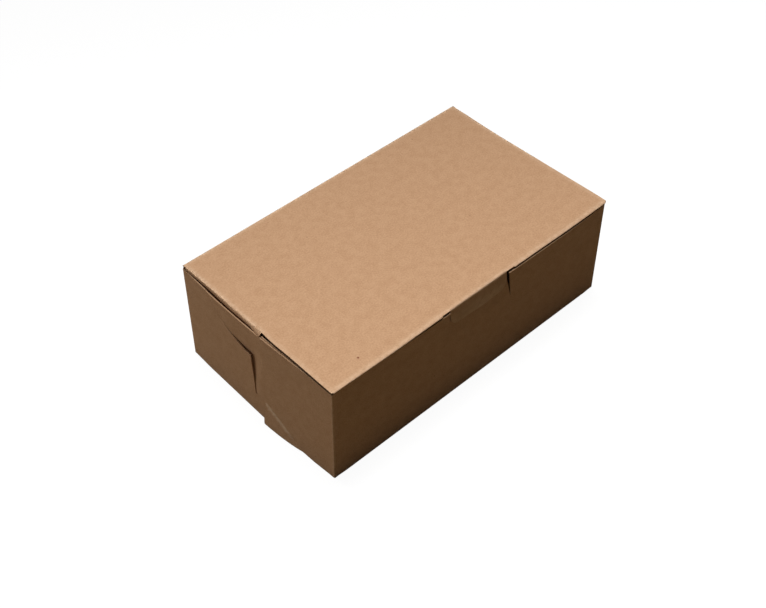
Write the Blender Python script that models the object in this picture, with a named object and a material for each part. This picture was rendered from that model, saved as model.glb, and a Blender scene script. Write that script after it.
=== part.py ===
"""Small kraft bakery box with locked ends and a hinged, tucked lid, die-cut from one sheet of board.

Frame: +Z up, X along the box's length, the front wall faces -Y. The origin is on the table, under
the middle of the box. Each panel or flap that the creases and cuts divide the sheet into is its own
object. Panels that meet at a crease, or lie on each other, keep a small clearance.

Places on an end are given as a reach, measured from the back wall's outer face towards the front,
and a drop, measured down from the lid's top face.
"""
import math

import bmesh
import bpy
from mathutils import Vector

# Overall sizes and the board
BOX_LENGTH = 0.1600
BOX_DEPTH = 0.0945
BOX_HEIGHT = 0.0533
BOARD = 0.0005
CLEARANCE = 0.0003
LAYER = BOARD + CLEARANCE

# How finely a bowed flap and the bowed front wall are divided
FINE_REACH = 0.0060
FINE_DROP = 0.0090
FINE_RUN = 0.0160

# Rims of the walls, as drops below the lid's top face
FRONT_RIM_DROP = 0.0013
END_RIM_DROP = 0.0019
INNER_RIM_DROP = 0.0034

# How far the front wall's rim bows out in its middle
FRONT_RIM_BOW = 0.0009

# Slits and the leaning tab in the front wall
TAB_TOP_WIDTH = 0.0330
SLIT_SPLAY = 0.0033
SLIT_DEPTH = 0.0149
SLIT_RIM_WIDTH = 0.0011
SLIT_FOOT_WIDTH = 0.0003

# Corner lock: the rear flap lies outside up to its slot, the front flap lies outside past the overlap
SLOT_REACH = 0.0458
SLOT_TOP_DROP = 0.0178
LOCK_HEIGHT = 0.0123
LOCK_STRIP = 0.0072
LOCK_STRIP_FALL = 0.0016
LEAD_RUN = 0.0295
LEAD_STEPS = 6
REAR_SWING = 0.0020
FRONT_TOP_BOW = 0.00145
FRONT_FOOT_BOW = 0.0035
FOOT_SPARE = 0.0005
BARB_GAP = 0.0007

# Hidden hooks of the lock flaps
REAR_BARB_END_REACH = 0.0715
REAR_BARB_TOP_DROP = 0.0270
REAR_BARB_SLOPE = 0.0090
REAR_BARB_TAPER = 0.0040
FRONT_HOOK_END_REACH = 0.0120
FRONT_HOOK_RIM_FALL = 0.0004
FRONT_BARB_FOOT_LIFT = 0.0030
FRONT_BARB_TAPER = 0.0040

# Lid
LID_END_INSET = 0.0009
SIDE_FLAP_DEPTH = 0.0180
SIDE_FLAP_REACH = 0.0520
SIDE_FLAP_BACK_GAP = 0.0012
SIDE_FLAP_TAPER = 0.0040
TUCK_FLAP_DEPTH = 0.0149
TUCK_FLAP_LEAN = math.radians(5.5)
TUCK_FLAP_ROOT_GAP = 0.0011
TUCK_FLAP_CHAMFER = 0.0035
MITRE_GAP = 0.0012
TONGUE_DEPTH = 0.0100
TONGUE_LEAN = math.radians(7.5)
TONGUE_ROUNDING = 0.0048
TONGUE_ROUND_STEPS = 5

# Planes and lines that several panels share
END_PANEL_FACE = BOX_LENGTH / 2 - LAYER
SIDE_FLAP_FACE = END_PANEL_FACE - LAYER
WALL_END = BOX_LENGTH / 2 - LAYER
FRONT_FACE = -BOX_DEPTH / 2
BACK_FACE = BOX_DEPTH / 2
INNER_HALF_DEPTH = BOX_DEPTH / 2 - LAYER
FLAP_TOP = BOX_HEIGHT - LAYER
FREE_EDGE_REACH = SLOT_REACH + LOCK_STRIP
LOCK_DROP = BOX_HEIGHT - LOCK_HEIGHT

# Finish of the board
BOARD_COLOUR = (0.55, 0.33, 0.19, 1.0)
BOARD_ROUGHNESS = 0.85
BOARD_METALLIC = 0.0


def clear_scene():
    """Remove whatever the scene holds."""
    for thing in list(bpy.data.objects):
        bpy.data.objects.remove(thing, do_unlink=True)


def make_material(name):
    """Return a material of plain uncoated board."""
    material = bpy.data.materials.new(name)
    material.use_nodes = True
    shader = material.node_tree.nodes["Principled BSDF"]
    shader.inputs["Base Color"].default_value = BOARD_COLOUR
    shader.inputs["Roughness"].default_value = BOARD_ROUGHNESS
    shader.inputs["Metallic"].default_value = BOARD_METALLIC
    material.diffuse_color = BOARD_COLOUR
    return material


def cut_lines(bm, normal, low, high, spacing):
    """Cut the flat panel along evenly spaced lines, so that it can bow."""
    count = max(1, math.ceil((high - low) / spacing))
    for index in range(1, count):
        place = normal * (low + (high - low) * index / count)
        geometry = bm.verts[:] + bm.edges[:] + bm.faces[:]
        bmesh.ops.bisect_plane(bm, geom=geometry, plane_co=place, plane_no=normal)


def make_panel(name, outline, place, spacing=None, fold=None, origin=(0, 0, 0)):
    """Build one panel of board from its flat outline.

    place turns an outline point and a depth into the board, nought on the outer face and one on the
    inner face, into a position. Where a spacing is given for the two directions, the outline is
    divided first, so that place can bow it, and fold is the height of a level line across it that
    place can bend it along. The origin is where the object's own origin goes.
    """
    bm = bmesh.new()
    corners = [bm.verts.new((first, second, 0)) for first, second in outline]
    bm.faces.new(corners)
    if spacing is not None:
        firsts = [point[0] for point in outline]
        seconds = [point[1] for point in outline]
        cut_lines(bm, Vector((1, 0, 0)), min(firsts), max(firsts), spacing[0])
        cut_lines(bm, Vector((0, 1, 0)), min(seconds), max(seconds), spacing[1])
    if fold is not None:
        geometry = bm.verts[:] + bm.edges[:] + bm.faces[:]
        bmesh.ops.bisect_plane(bm, geom=geometry, plane_co=(0, fold, 0), plane_no=(0, 1, 0))
    bmesh.ops.triangulate(bm, faces=bm.faces[:])
    outer = set(bm.verts[:])
    bmesh.ops.extrude_face_region(bm, geom=bm.faces[:])
    # The extrusion leaves the first layer in place and adds the second one on top of it
    for vertex in bm.verts:
        depth = 0 if vertex in outer else 1
        vertex.co = Vector(place(vertex.co.x, vertex.co.y, depth)) - Vector(origin)
    bmesh.ops.recalc_face_normals(bm, faces=bm.faces[:])
    mesh = bpy.data.meshes.new(name)
    bm.to_mesh(mesh)
    bm.free()
    panel = bpy.data.objects.new(name, mesh)
    panel.location = origin
    mesh.materials.append(make_material(name))
    bpy.context.scene.collection.objects.link(panel)
    return panel


def make_base_panel():
    """Build the floor, inside the four walls."""
    half_length = END_PANEL_FACE - LAYER
    outline = [
        (-half_length, -INNER_HALF_DEPTH),
        (half_length, -INNER_HALF_DEPTH),
        (half_length, INNER_HALF_DEPTH),
        (-half_length, INNER_HALF_DEPTH),
    ]

    def place(x, y, depth):
        return (x, y, depth * BOARD)

    return make_panel("base_panel", outline, place)


def make_back_wall():
    """Build the plain back wall, up to the underside of the lid."""
    outline = [(-WALL_END, 0), (WALL_END, 0), (WALL_END, FLAP_TOP), (-WALL_END, FLAP_TOP)]

    def place(x, z, depth):
        return (x, BACK_FACE - depth * BOARD, z)

    return make_panel("back_wall", outline, place)


def front_wall_place(x, z, depth):
    """Place a point of the front wall, which bows out above its slits' feet.

    The tab between the slits leans in behind the lid's tongue instead.
    """
    rim = BOX_HEIGHT - FRONT_RIM_DROP
    slit_foot = rim - SLIT_DEPTH
    rise = max(0.0, (z - slit_foot) / SLIT_DEPTH)
    tab_half = TAB_TOP_WIDTH / 2 + SLIT_SPLAY * (1 - rise)
    on_tab = rise > 0 and abs(x) < tab_half + SLIT_FOOT_WIDTH / 2
    bow = FRONT_RIM_BOW * rise * math.cos(math.pi / 2 * x / WALL_END)
    lean = LAYER * rise if on_tab else -bow
    return (x, FRONT_FACE + lean + depth * BOARD, z)


def make_front_wall():
    """Build the front wall, with two splayed slits cut down from its rim."""
    rim = BOX_HEIGHT - FRONT_RIM_DROP
    slit_foot = rim - SLIT_DEPTH
    tab_top = TAB_TOP_WIDTH / 2
    tab_foot = tab_top + SLIT_SPLAY
    outline = [
        (-WALL_END, 0),
        (WALL_END, 0),
        (WALL_END, rim),
        (tab_top + SLIT_RIM_WIDTH, rim),
        (tab_foot + SLIT_FOOT_WIDTH, slit_foot),
        (tab_foot, slit_foot),
        (tab_top, rim),
        (-tab_top, rim),
        (-tab_foot, slit_foot),
        (-tab_foot - SLIT_FOOT_WIDTH, slit_foot),
        (-tab_top - SLIT_RIM_WIDTH, rim),
        (-WALL_END, rim),
    ]
    spacing = (FINE_RUN, BOX_HEIGHT)
    return make_panel("front_wall", outline, front_wall_place, spacing=spacing, fold=slit_foot)


def end_point(side, reach, drop, stand):
    """Return the point of an end that stands out from the corners' plane by stand."""
    return (side * (BOX_LENGTH / 2 + stand), BACK_FACE - reach, BOX_HEIGHT - drop)


def make_end_panel(side_name, side):
    """Build the inner end wall, whose rim lies lower than the lock flaps' rims."""
    low = LAYER
    high = BOX_DEPTH - LAYER
    outline = [(low, BOX_HEIGHT), (high, BOX_HEIGHT), (high, INNER_RIM_DROP), (low, INNER_RIM_DROP)]

    def place(reach, drop, depth):
        return end_point(side, reach, drop, -LAYER - depth * BOARD)

    return make_panel(side_name + "_end_panel", outline, place)


def front_bow(reach, drop):
    """Return how far the front lock flap stands out where it is the outer layer."""
    span = BOX_DEPTH - FREE_EDGE_REACH
    along = math.sin(math.pi / 2 * min(1.0, (BOX_DEPTH - reach) / span))
    down = (drop / BOX_HEIGHT) ** 2
    return (FRONT_TOP_BOW + (FRONT_FOOT_BOW - FRONT_TOP_BOW) * down) * along


def rear_swing(reach):
    """Return how far the rear lock flap stands out where it is the outer layer."""
    return REAR_SWING * reach / SLOT_REACH


def rear_flap_stand(reach, drop):
    """Return how far the rear lock flap stands out, from its fold to its hidden barb."""
    behind_front = front_bow(max(reach, FREE_EDGE_REACH), drop) - LAYER
    behind_front -= FOOT_SPARE * (drop / BOX_HEIGHT) ** 2
    if reach <= SLOT_REACH:
        return rear_swing(reach)
    if reach >= FREE_EDGE_REACH:
        return behind_front
    share = (reach - SLOT_REACH) / LOCK_STRIP
    return rear_swing(SLOT_REACH) * (1 - share) + behind_front * share


def front_flap_stand(reach, drop):
    """Return how far the front lock flap stands out, from its fold to its hidden hook."""
    if reach >= FREE_EDGE_REACH:
        return front_bow(reach, drop)
    if reach <= SLOT_REACH:
        return rear_swing(reach) - LAYER
    share = (reach - SLOT_REACH) / LOCK_STRIP
    behind_rear = rear_swing(SLOT_REACH) - LAYER
    return behind_rear * (1 - share) + front_bow(FREE_EDGE_REACH, drop) * share


def lead_points():
    """Return the curve from the rear lock flap's rim down to its slot, which it meets level."""
    points = []
    for step in range(LEAD_STEPS + 1):
        left = 1 - step / LEAD_STEPS
        fall = (SLOT_TOP_DROP - END_RIM_DROP) * (1 - left ** 2)
        points.append((SLOT_REACH - LEAD_RUN * left, END_RIM_DROP + fall))
    return points


def make_rear_lock_flap(side_name, side):
    """Build the flap from the back wall: a curved lead, a slot, and a strip with a hidden barb."""
    barb_start = FREE_EDGE_REACH + BARB_GAP
    outline = [
        (0, END_RIM_DROP),
        *lead_points(),
        (SLOT_REACH, LOCK_DROP),
        (barb_start, LOCK_DROP + LOCK_STRIP_FALL),
        (barb_start, REAR_BARB_TOP_DROP),
        (REAR_BARB_END_REACH, REAR_BARB_TOP_DROP + REAR_BARB_SLOPE),
        (REAR_BARB_END_REACH - REAR_BARB_TAPER, BOX_HEIGHT),
        (0, BOX_HEIGHT),
    ]

    def place(reach, drop, depth):
        return end_point(side, reach, drop, rear_flap_stand(reach, drop) - depth * BOARD)

    return make_panel(side_name + "_rear_lock_flap", outline, place, spacing=(FINE_REACH, FINE_DROP))


def make_front_lock_flap(side_name, side):
    """Build the flap from the front wall, which hooks behind the rear one above the lock strip."""
    strip_edge = LOCK_DROP - 2 * CLEARANCE
    barb_start = SLOT_REACH - BARB_GAP
    barb_foot = BOX_HEIGHT - FRONT_BARB_FOOT_LIFT
    outline = [
        (BOX_DEPTH, BOX_HEIGHT),
        (BOX_DEPTH, FRONT_RIM_DROP),
        (FREE_EDGE_REACH, END_RIM_DROP),
        (FRONT_HOOK_END_REACH, END_RIM_DROP + FRONT_HOOK_RIM_FALL),
        (FRONT_HOOK_END_REACH + FRONT_BARB_TAPER, barb_foot),
        (barb_start, barb_foot),
        (barb_start, strip_edge),
        (FREE_EDGE_REACH, strip_edge + LOCK_STRIP_FALL),
        (FREE_EDGE_REACH, BOX_HEIGHT),
    ]

    def place(reach, drop, depth):
        return end_point(side, reach, drop, front_flap_stand(reach, drop) - depth * BOARD)

    return make_panel(side_name + "_front_lock_flap", outline, place, spacing=(FINE_REACH, FINE_DROP))


def make_lid_panel():
    """Build the lid, with its origin on the crease at the top of the back wall."""
    half_length = BOX_LENGTH / 2 - LID_END_INSET
    outline = [
        (-half_length, FRONT_FACE),
        (half_length, FRONT_FACE),
        (half_length, BACK_FACE),
        (-half_length, BACK_FACE),
    ]

    def place(x, y, depth):
        return (x, y, BOX_HEIGHT - depth * BOARD)

    return make_panel("lid_panel", outline, place, origin=(0, BACK_FACE, BOX_HEIGHT))


def hang_on(lid, flap):
    """Parent a flap to the lid and keep it where it was made."""
    flap.parent = lid
    flap.location = flap.location - lid.location


def make_side_flap(lid, side_name, side):
    """Build the flap that hangs inside the rear part of an end, with its origin on its crease."""
    axis_x = side * (SIDE_FLAP_FACE - BOARD)
    back = INNER_HALF_DEPTH - SIDE_FLAP_BACK_GAP
    front = BACK_FACE - SIDE_FLAP_REACH
    outline = [
        (front, 0),
        (back, 0),
        (back - SIDE_FLAP_TAPER, SIDE_FLAP_DEPTH),
        (front + SIDE_FLAP_TAPER, SIDE_FLAP_DEPTH),
    ]

    def place(y, hang, depth):
        return (axis_x + side * BOARD * (1 - depth), y, FLAP_TOP - hang)

    name = "lid_" + side_name + "_side_flap"
    flap = make_panel(name, outline, place, origin=(axis_x, 0, FLAP_TOP))
    hang_on(lid, flap)
    return flap


def make_tuck_flap(lid, side_name, side):
    """Build one half of the front tuck flap, which leans in from its crease."""
    axis_y = FRONT_FACE + LAYER + BOARD
    root = TAB_TOP_WIDTH / 2 + SLIT_SPLAY + TUCK_FLAP_ROOT_GAP
    corner = SIDE_FLAP_FACE - MITRE_GAP
    outline = [
        (root, 0),
        (corner, 0),
        (corner - TUCK_FLAP_DEPTH, TUCK_FLAP_DEPTH),
        (root + TUCK_FLAP_CHAMFER, TUCK_FLAP_DEPTH),
        (root, TUCK_FLAP_DEPTH - TUCK_FLAP_CHAMFER),
    ]

    def place(reach, hang, depth):
        return (side * reach, axis_y - BOARD * (1 - depth), FLAP_TOP - hang)

    name = "lid_" + side_name + "_tuck_flap"
    flap = make_panel(name, outline, place, origin=(0, axis_y, FLAP_TOP))
    flap.rotation_euler = (TUCK_FLAP_LEAN, 0, 0)
    hang_on(lid, flap)
    return flap


def tongue_outline():
    """Return the tongue's outline: straight root, rounded free corners."""
    half = TAB_TOP_WIDTH / 2
    points = [(-half, 0), (half, 0)]
    for sign in (1, -1):
        corner = []
        for step in range(TONGUE_ROUND_STEPS + 1):
            angle = math.pi / 2 * step / TONGUE_ROUND_STEPS
            across = half - TONGUE_ROUNDING * (1 - math.cos(angle))
            down = TONGUE_DEPTH - TONGUE_ROUNDING * (1 - math.sin(angle))
            corner.append((sign * across, down))
        points += corner if sign == 1 else corner[::-1]
    return points


def make_lock_tongue(lid):
    """Build the tongue that hangs outside the front wall's tab, leaning out from its crease."""
    def place(x, hang, depth):
        return (x, FRONT_FACE + depth * BOARD, FLAP_TOP - hang)

    origin = (0, FRONT_FACE, FLAP_TOP)
    tongue = make_panel("lid_lock_tongue", tongue_outline(), place, origin=origin)
    tongue.rotation_euler = (-TONGUE_LEAN, 0, 0)
    hang_on(lid, tongue)
    return tongue


def build():
    """Build the whole box."""
    clear_scene()
    make_base_panel()
    make_front_wall()
    make_back_wall()
    lid = make_lid_panel()
    make_lock_tongue(lid)
    for side_name, side in (("left", -1), ("right", 1)):
        make_end_panel(side_name, side)
        make_rear_lock_flap(side_name, side)
        make_front_lock_flap(side_name, side)
        make_side_flap(lid, side_name, side)
        make_tuck_flap(lid, side_name, side)


build()
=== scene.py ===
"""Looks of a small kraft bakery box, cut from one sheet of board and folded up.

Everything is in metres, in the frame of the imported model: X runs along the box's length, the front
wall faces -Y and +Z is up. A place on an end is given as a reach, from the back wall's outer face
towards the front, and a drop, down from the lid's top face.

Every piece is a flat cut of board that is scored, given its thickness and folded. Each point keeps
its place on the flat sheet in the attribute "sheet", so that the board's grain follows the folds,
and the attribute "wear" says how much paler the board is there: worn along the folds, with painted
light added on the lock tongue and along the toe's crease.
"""
import logging
import math
from collections.abc import Callable, Iterable, Sequence
from dataclasses import dataclass, field
from enum import Enum, IntEnum

import bmesh
import bpy
from mathutils import Matrix, Vector, noise


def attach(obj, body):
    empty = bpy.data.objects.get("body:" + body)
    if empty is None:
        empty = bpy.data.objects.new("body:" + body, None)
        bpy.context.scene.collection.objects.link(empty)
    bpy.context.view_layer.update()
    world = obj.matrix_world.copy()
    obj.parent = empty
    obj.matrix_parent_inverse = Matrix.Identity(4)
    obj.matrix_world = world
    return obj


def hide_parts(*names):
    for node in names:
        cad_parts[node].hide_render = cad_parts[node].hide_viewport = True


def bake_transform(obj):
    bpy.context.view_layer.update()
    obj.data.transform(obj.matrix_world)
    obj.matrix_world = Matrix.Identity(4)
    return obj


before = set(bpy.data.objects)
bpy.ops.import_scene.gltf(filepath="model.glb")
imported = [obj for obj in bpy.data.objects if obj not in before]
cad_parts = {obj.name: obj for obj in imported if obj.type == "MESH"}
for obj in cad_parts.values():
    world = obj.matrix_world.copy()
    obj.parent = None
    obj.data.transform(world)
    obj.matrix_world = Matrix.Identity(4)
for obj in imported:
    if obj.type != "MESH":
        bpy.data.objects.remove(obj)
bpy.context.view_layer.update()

LOG = logging.getLogger("bakery_box")

Point = tuple[float, float]
Place = tuple[float, float, float]
Colour = tuple[float, float, float]
Folder = Callable[[float, float, float], Vector]
Layout = Callable[[float, float], Point]
Mask = Callable[[float, float], float]
Finishes = Sequence[bpy.types.Material]

FLOAT = "NodeSocketFloat"
VECTOR = "NodeSocketVector"
MM = 0.001

LENGTH = 160.0 * MM
DEPTH = 94.5 * MM
HEIGHT = 53.3 * MM
BOARD = 0.5 * MM
HALF_LENGTH = LENGTH / 2
HALF_DEPTH = DEPTH / 2
BACK_RIM = 52.25 * MM

SIDES = (-1.0, 1.0)
QUARTER_TURN = math.pi / 2
SHARP_TURN = math.radians(35.0)
ON_THE_LINE = 1e-7
SCORE_MARGIN = 2.0 * MM


class Side(IntEnum):
    """The sides of a piece of board, numbered as its material slots."""

    OUTER = 0
    EDGE = 1
    INNER = 2


class Axis(Enum):
    """The directions in which a flat cut is scored."""

    ACROSS = (1.0, 0.0, 0.0)
    ALONG = (0.0, 1.0, 0.0)


class End(Enum):
    """The two ends of the box, with the direction that each faces along X."""

    LEFT = -1.0
    RIGHT = 1.0

    @property
    def label(self) -> str:
        """Return the end's name as it stands in a piece's name."""
        return self.name.lower()


def ease(share: float) -> float:
    """Return share clipped to 0..1 and eased at both ends."""
    share = min(1.0, max(0.0, share))
    return share * share * (3.0 - 2.0 * share)


def mix(low: float, high: float, share: float) -> float:
    """Return the value that lies share of the way from low to high."""
    return low + (high - low) * share


def near(distance: float, width: float) -> float:
    """Return a mask that is 1 on a crease and fades out over width."""
    return math.exp(-((distance / width) ** 2))


def calmed(run: float, *distances: float) -> float:
    """Return a mask that eases from 0 at some edges to 1 away from them.

    Args:
        run: How far from an edge the mask reaches 1.
        *distances: How far a place is from each of the edges.

    Returns:
        The mask at that place.
    """
    return math.prod(ease(distance / run) for distance in distances)


def spaced(low: float, high: float, spacing: float) -> list[float]:
    """Return the inner ones of evenly spaced places from low to high.

    Args:
        low: The first place, which is left out.
        high: The last place, which is left out.
        spacing: The widest gap between two places.

    Returns:
        The places between low and high.
    """
    count = max(1, math.ceil((high - low) / spacing))
    return [mix(low, high, index / count) for index in range(1, count)]


def both_ends(places: Sequence[Point]) -> list[Point]:
    """Return places on a cut with their mirror images across its middle."""
    return [*places, *[(-across, along) for across, along in places]]


def mirrored(half: Sequence[Point]) -> list[Point]:
    """Return a whole outline from one half of it, in order round it."""
    return [*half, *[(-across, along) for across, along in reversed(half)]]


def through(points: Sequence[Point], place: float) -> float:
    """Return the value at a place of the smooth curve through some points.

    Args:
        points: The points, in rising order of their first coordinate.
        place: Where on the curve.

    Returns:
        The curve's second coordinate there.
    """
    place = min(points[-1][0], max(points[0][0], place))
    index = max(index for index in range(len(points) - 1) if points[index][0] <= place)
    (x0, y0), (x1, y1) = points[index], points[index + 1]
    before, after = points[max(0, index - 1)], points[min(len(points) - 1, index + 2)]
    share = (place - x0) / (x1 - x0)
    rise = y1 - y0
    first = (y1 - before[1]) / (x1 - before[0]) * (x1 - x0)
    last = (after[1] - y0) / (after[0] - x0) * (x1 - x0)
    bend = 3.0 * rise - 2.0 * first - last + share * (first + last - 2.0 * rise)
    return y0 + share * (first + share * bend)


def ripple(across: float, along: float, size: float, amount: float) -> float:
    """Return the gentle unevenness of flat board.

    Args:
        across: The first coordinate on the sheet.
        along: The second coordinate on the sheet.
        size: How wide the waves are.
        amount: How deep the deepest ones are.

    Returns:
        A depth from 0 to amount.
    """
    level, middle, swing = 0.37, 0.5, 0.6
    value = noise.noise(Vector((across / size, along / size, level)))
    return amount * min(1.0, max(0.0, middle + swing * value))


class Blank:
    """A flat cut of board that is scored, given its thickness and folded up."""

    def __init__(self, outline: Sequence[Point]) -> None:
        """Start the cut from its outline.

        Args:
            outline: The corners of the cut, in order round it.
        """
        self.mesh = bmesh.new()
        self.sheet = self.mesh.verts.layers.float_vector.new("sheet")
        self.wear = self.mesh.verts.layers.float.new("wear")
        corners = [self.mesh.verts.new((across, along, 0.0)) for across, along in outline]
        self.mesh.faces.new(corners)

    def round_corners(self, places: Iterable[Point], radius: float, segments: int = 4) -> None:
        """Round some of the outline's corners.

        Args:
            places: The corners to round.
            radius: The radius of the rounding.
            segments: The number of steps in each rounding.
        """
        for across, along in places:
            target = Vector((across, along, 0.0))
            corner = min(self.mesh.verts, key=lambda vert: (vert.co - target).length)
            bmesh.ops.bevel(
                self.mesh,
                geom=[corner],
                offset=radius,
                offset_type="OFFSET",
                segments=segments,
                profile=0.5,
                affect="VERTICES",
                material=-1,
            )

    def score(self, axis: Axis, places: Iterable[float]) -> None:
        """Divide the cut along straight lines.

        Args:
            axis: The direction that the places are measured in.
            places: Where the lines are.
        """
        normal = Vector(axis.value)
        for place in places:
            geometry = self.mesh.verts[:] + self.mesh.edges[:] + self.mesh.faces[:]
            bmesh.ops.bisect_plane(
                self.mesh,
                geom=geometry,
                plane_co=normal * place,
                plane_no=normal,
                dist=ON_THE_LINE,
            )

    def score_line(self, start: Point, end: Point) -> None:
        """Divide the cut along a slanting line, near where it runs.

        Args:
            start: One end of the line.
            end: The other end.
        """
        first, second = Vector((*start, 0.0)), Vector((*end, 0.0))
        normal = (second - first).cross(Vector((0.0, 0.0, 1.0))).normalized()
        middle, size = (first + second) / 2, second - first
        wide, high = abs(size.x) / 2 + SCORE_MARGIN, abs(size.y) / 2 + SCORE_MARGIN
        faces = []
        for face in self.mesh.faces:
            away = face.calc_center_median() - middle
            if abs(away.x) < wide and abs(away.y) < high:
                faces.append(face)
        edges = list(dict.fromkeys(edge for face in faces for edge in face.edges))
        verts = list(dict.fromkeys(vert for face in faces for vert in face.verts))
        bmesh.ops.bisect_plane(
            self.mesh,
            geom=verts + edges + faces,
            plane_co=first,
            plane_no=normal,
            dist=ON_THE_LINE,
        )

    def thicken(self) -> None:
        """Give the flat cut the thickness of the board and sort its faces by side."""
        crowded = [face for face in self.mesh.faces if len(face.verts) > 4]
        bmesh.ops.triangulate(self.mesh, faces=crowded)
        made = bmesh.ops.extrude_face_region(self.mesh, geom=self.mesh.faces[:])
        for item in made["geom"]:
            if isinstance(item, bmesh.types.BMVert):
                item.co.z = -BOARD
        for face in self.mesh.faces:
            levels = {vert.co.z for vert in face.verts}
            side = Side.EDGE if len(levels) > 1 else Side.OUTER if 0.0 in levels else Side.INNER
            face.material_index = side
            face.smooth = True
        bmesh.ops.recalc_face_normals(self.mesh, faces=self.mesh.faces[:])
        for edge in self.mesh.edges:
            sides = {face.material_index for face in edge.link_faces}
            turns = edge.calc_face_angle(0.0) > SHARP_TURN
            edge.smooth = len(sides) == 1 and not turns

    def fold(self, folder: Folder, layout: Layout, wear: Mask) -> None:
        """Fold the thick cut into shape.

        Args:
            folder: Turns a place on the cut and a depth under its outer face into a position.
            layout: Turns a place on the cut into a place on the whole sheet.
            wear: Says how worn a place on the cut is, from 0 up; on the lock tongue and the toe's
                crease it also carries painted light.
        """
        for vert in self.mesh.verts:
            across, along, level = vert.co
            vert[self.sheet] = (*layout(across, along), level)
            vert[self.wear] = wear(across, along)
            vert.co = folder(across, along, -level)
        bmesh.ops.recalc_face_normals(self.mesh, faces=self.mesh.faces[:])

    def finish(self, name: str, finishes: Finishes) -> bpy.types.Object:
        """Turn the folded cut into an object.

        Args:
            name: The piece's name.
            finishes: The materials of the outer face, the cut edges and the inner face.

        Returns:
            The finished piece, at the origin.
        """
        mesh = bpy.data.meshes.new(name)
        self.mesh.to_mesh(mesh)
        self.mesh.free()
        for finish in finishes:
            mesh.materials.append(finish)
        piece = bpy.data.objects.new(name, mesh)
        bpy.context.scene.collection.objects.link(piece)
        LOG.info("%s: %d faces", name, len(mesh.polygons))
        return piece


class Wiring:
    """Adds nodes to a node tree and joins them."""

    noise_roughness = 0.55

    def __init__(self, tree: bpy.types.NodeTree) -> None:
        """Keep the tree that nodes are added to."""
        self.tree = tree

    def add(self, kind: str, settings: dict | None = None, **inputs: object) -> bpy.types.Node:
        """Add a node, set it up and feed its inputs.

        Args:
            kind: The node's type.
            settings: Values for the node's own properties.
            **inputs: Values or sockets for its inputs, by name with _ for a space, or by number
                after a leading "at".

        Returns:
            The new node.
        """
        node = self.tree.nodes.new(kind)
        for key, value in (settings or {}).items():
            setattr(node, key, value)
        for key, value in inputs.items():
            name = int(key[2:]) if key[2:].isdigit() else key.replace("_", " ")
            socket = node.inputs[name]
            if isinstance(value, bpy.types.NodeSocket):
                self.tree.links.new(value, socket)
            else:
                socket.default_value = value
        return node

    def maths(self, operation: str, first: object, second: object = 0.0) -> bpy.types.NodeSocket:
        """Add a Math node and return its output."""
        node = self.add("ShaderNodeMath", {"operation": operation}, at0=first, at1=second)
        return node.outputs["Value"]

    def remap(
        self, value: object, low: float, high: float, to_low: float, to_high: float
    ) -> bpy.types.NodeSocket:
        """Add a Map Range node.

        Args:
            value: The socket to map.
            low: The value that becomes to_low.
            high: The value that becomes to_high.
            to_low: The result at low.
            to_high: The result at high.

        Returns:
            The mapped output socket.
        """
        node = self.add(
            "ShaderNodeMapRange",
            Value=value,
            From_Min=low,
            From_Max=high,
            To_Min=to_low,
            To_Max=to_high,
        )
        return node.outputs["Result"]

    def noise(self, vector: object, size: object, detail: float) -> bpy.types.NodeSocket:
        """Add a Noise node.

        Args:
            vector: The place that it is read at.
            size: The size of its features.
            detail: How many finer layers it has.

        Returns:
            The socket of its value.
        """
        node = self.add(
            "ShaderNodeTexNoise",
            Vector=vector,
            Scale=self.maths("DIVIDE", 1.0, size),
            Detail=detail,
            Roughness=self.noise_roughness,
        )
        return node.outputs["Fac"]

    def blend(self, share: object, first: object, second: object) -> bpy.types.NodeSocket:
        """Add a Mix node for colours and return its output."""
        node = self.add("ShaderNodeMix", {"data_type": "RGBA"}, at0=share, at6=first, at7=second)
        return node.outputs[2]


def new_group(name: str, takes: dict[str, tuple[str, float]], gives: Sequence[str]) -> Wiring:
    """Start a shader node group.

    Args:
        name: The group's name.
        takes: Each input's name with its socket type and its default value.
        gives: The names of the outputs, which are values.

    Returns:
        The wiring of the group's tree.
    """
    group = bpy.data.node_groups.new(name, "ShaderNodeTree")
    for label, (kind, value) in takes.items():
        socket = group.interface.new_socket(name=label, in_out="INPUT", socket_type=kind)
        if kind == FLOAT:
            socket.default_value = value
    for label in gives:
        group.interface.new_socket(name=label, in_out="OUTPUT", socket_type=FLOAT)
    return Wiring(group)


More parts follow.
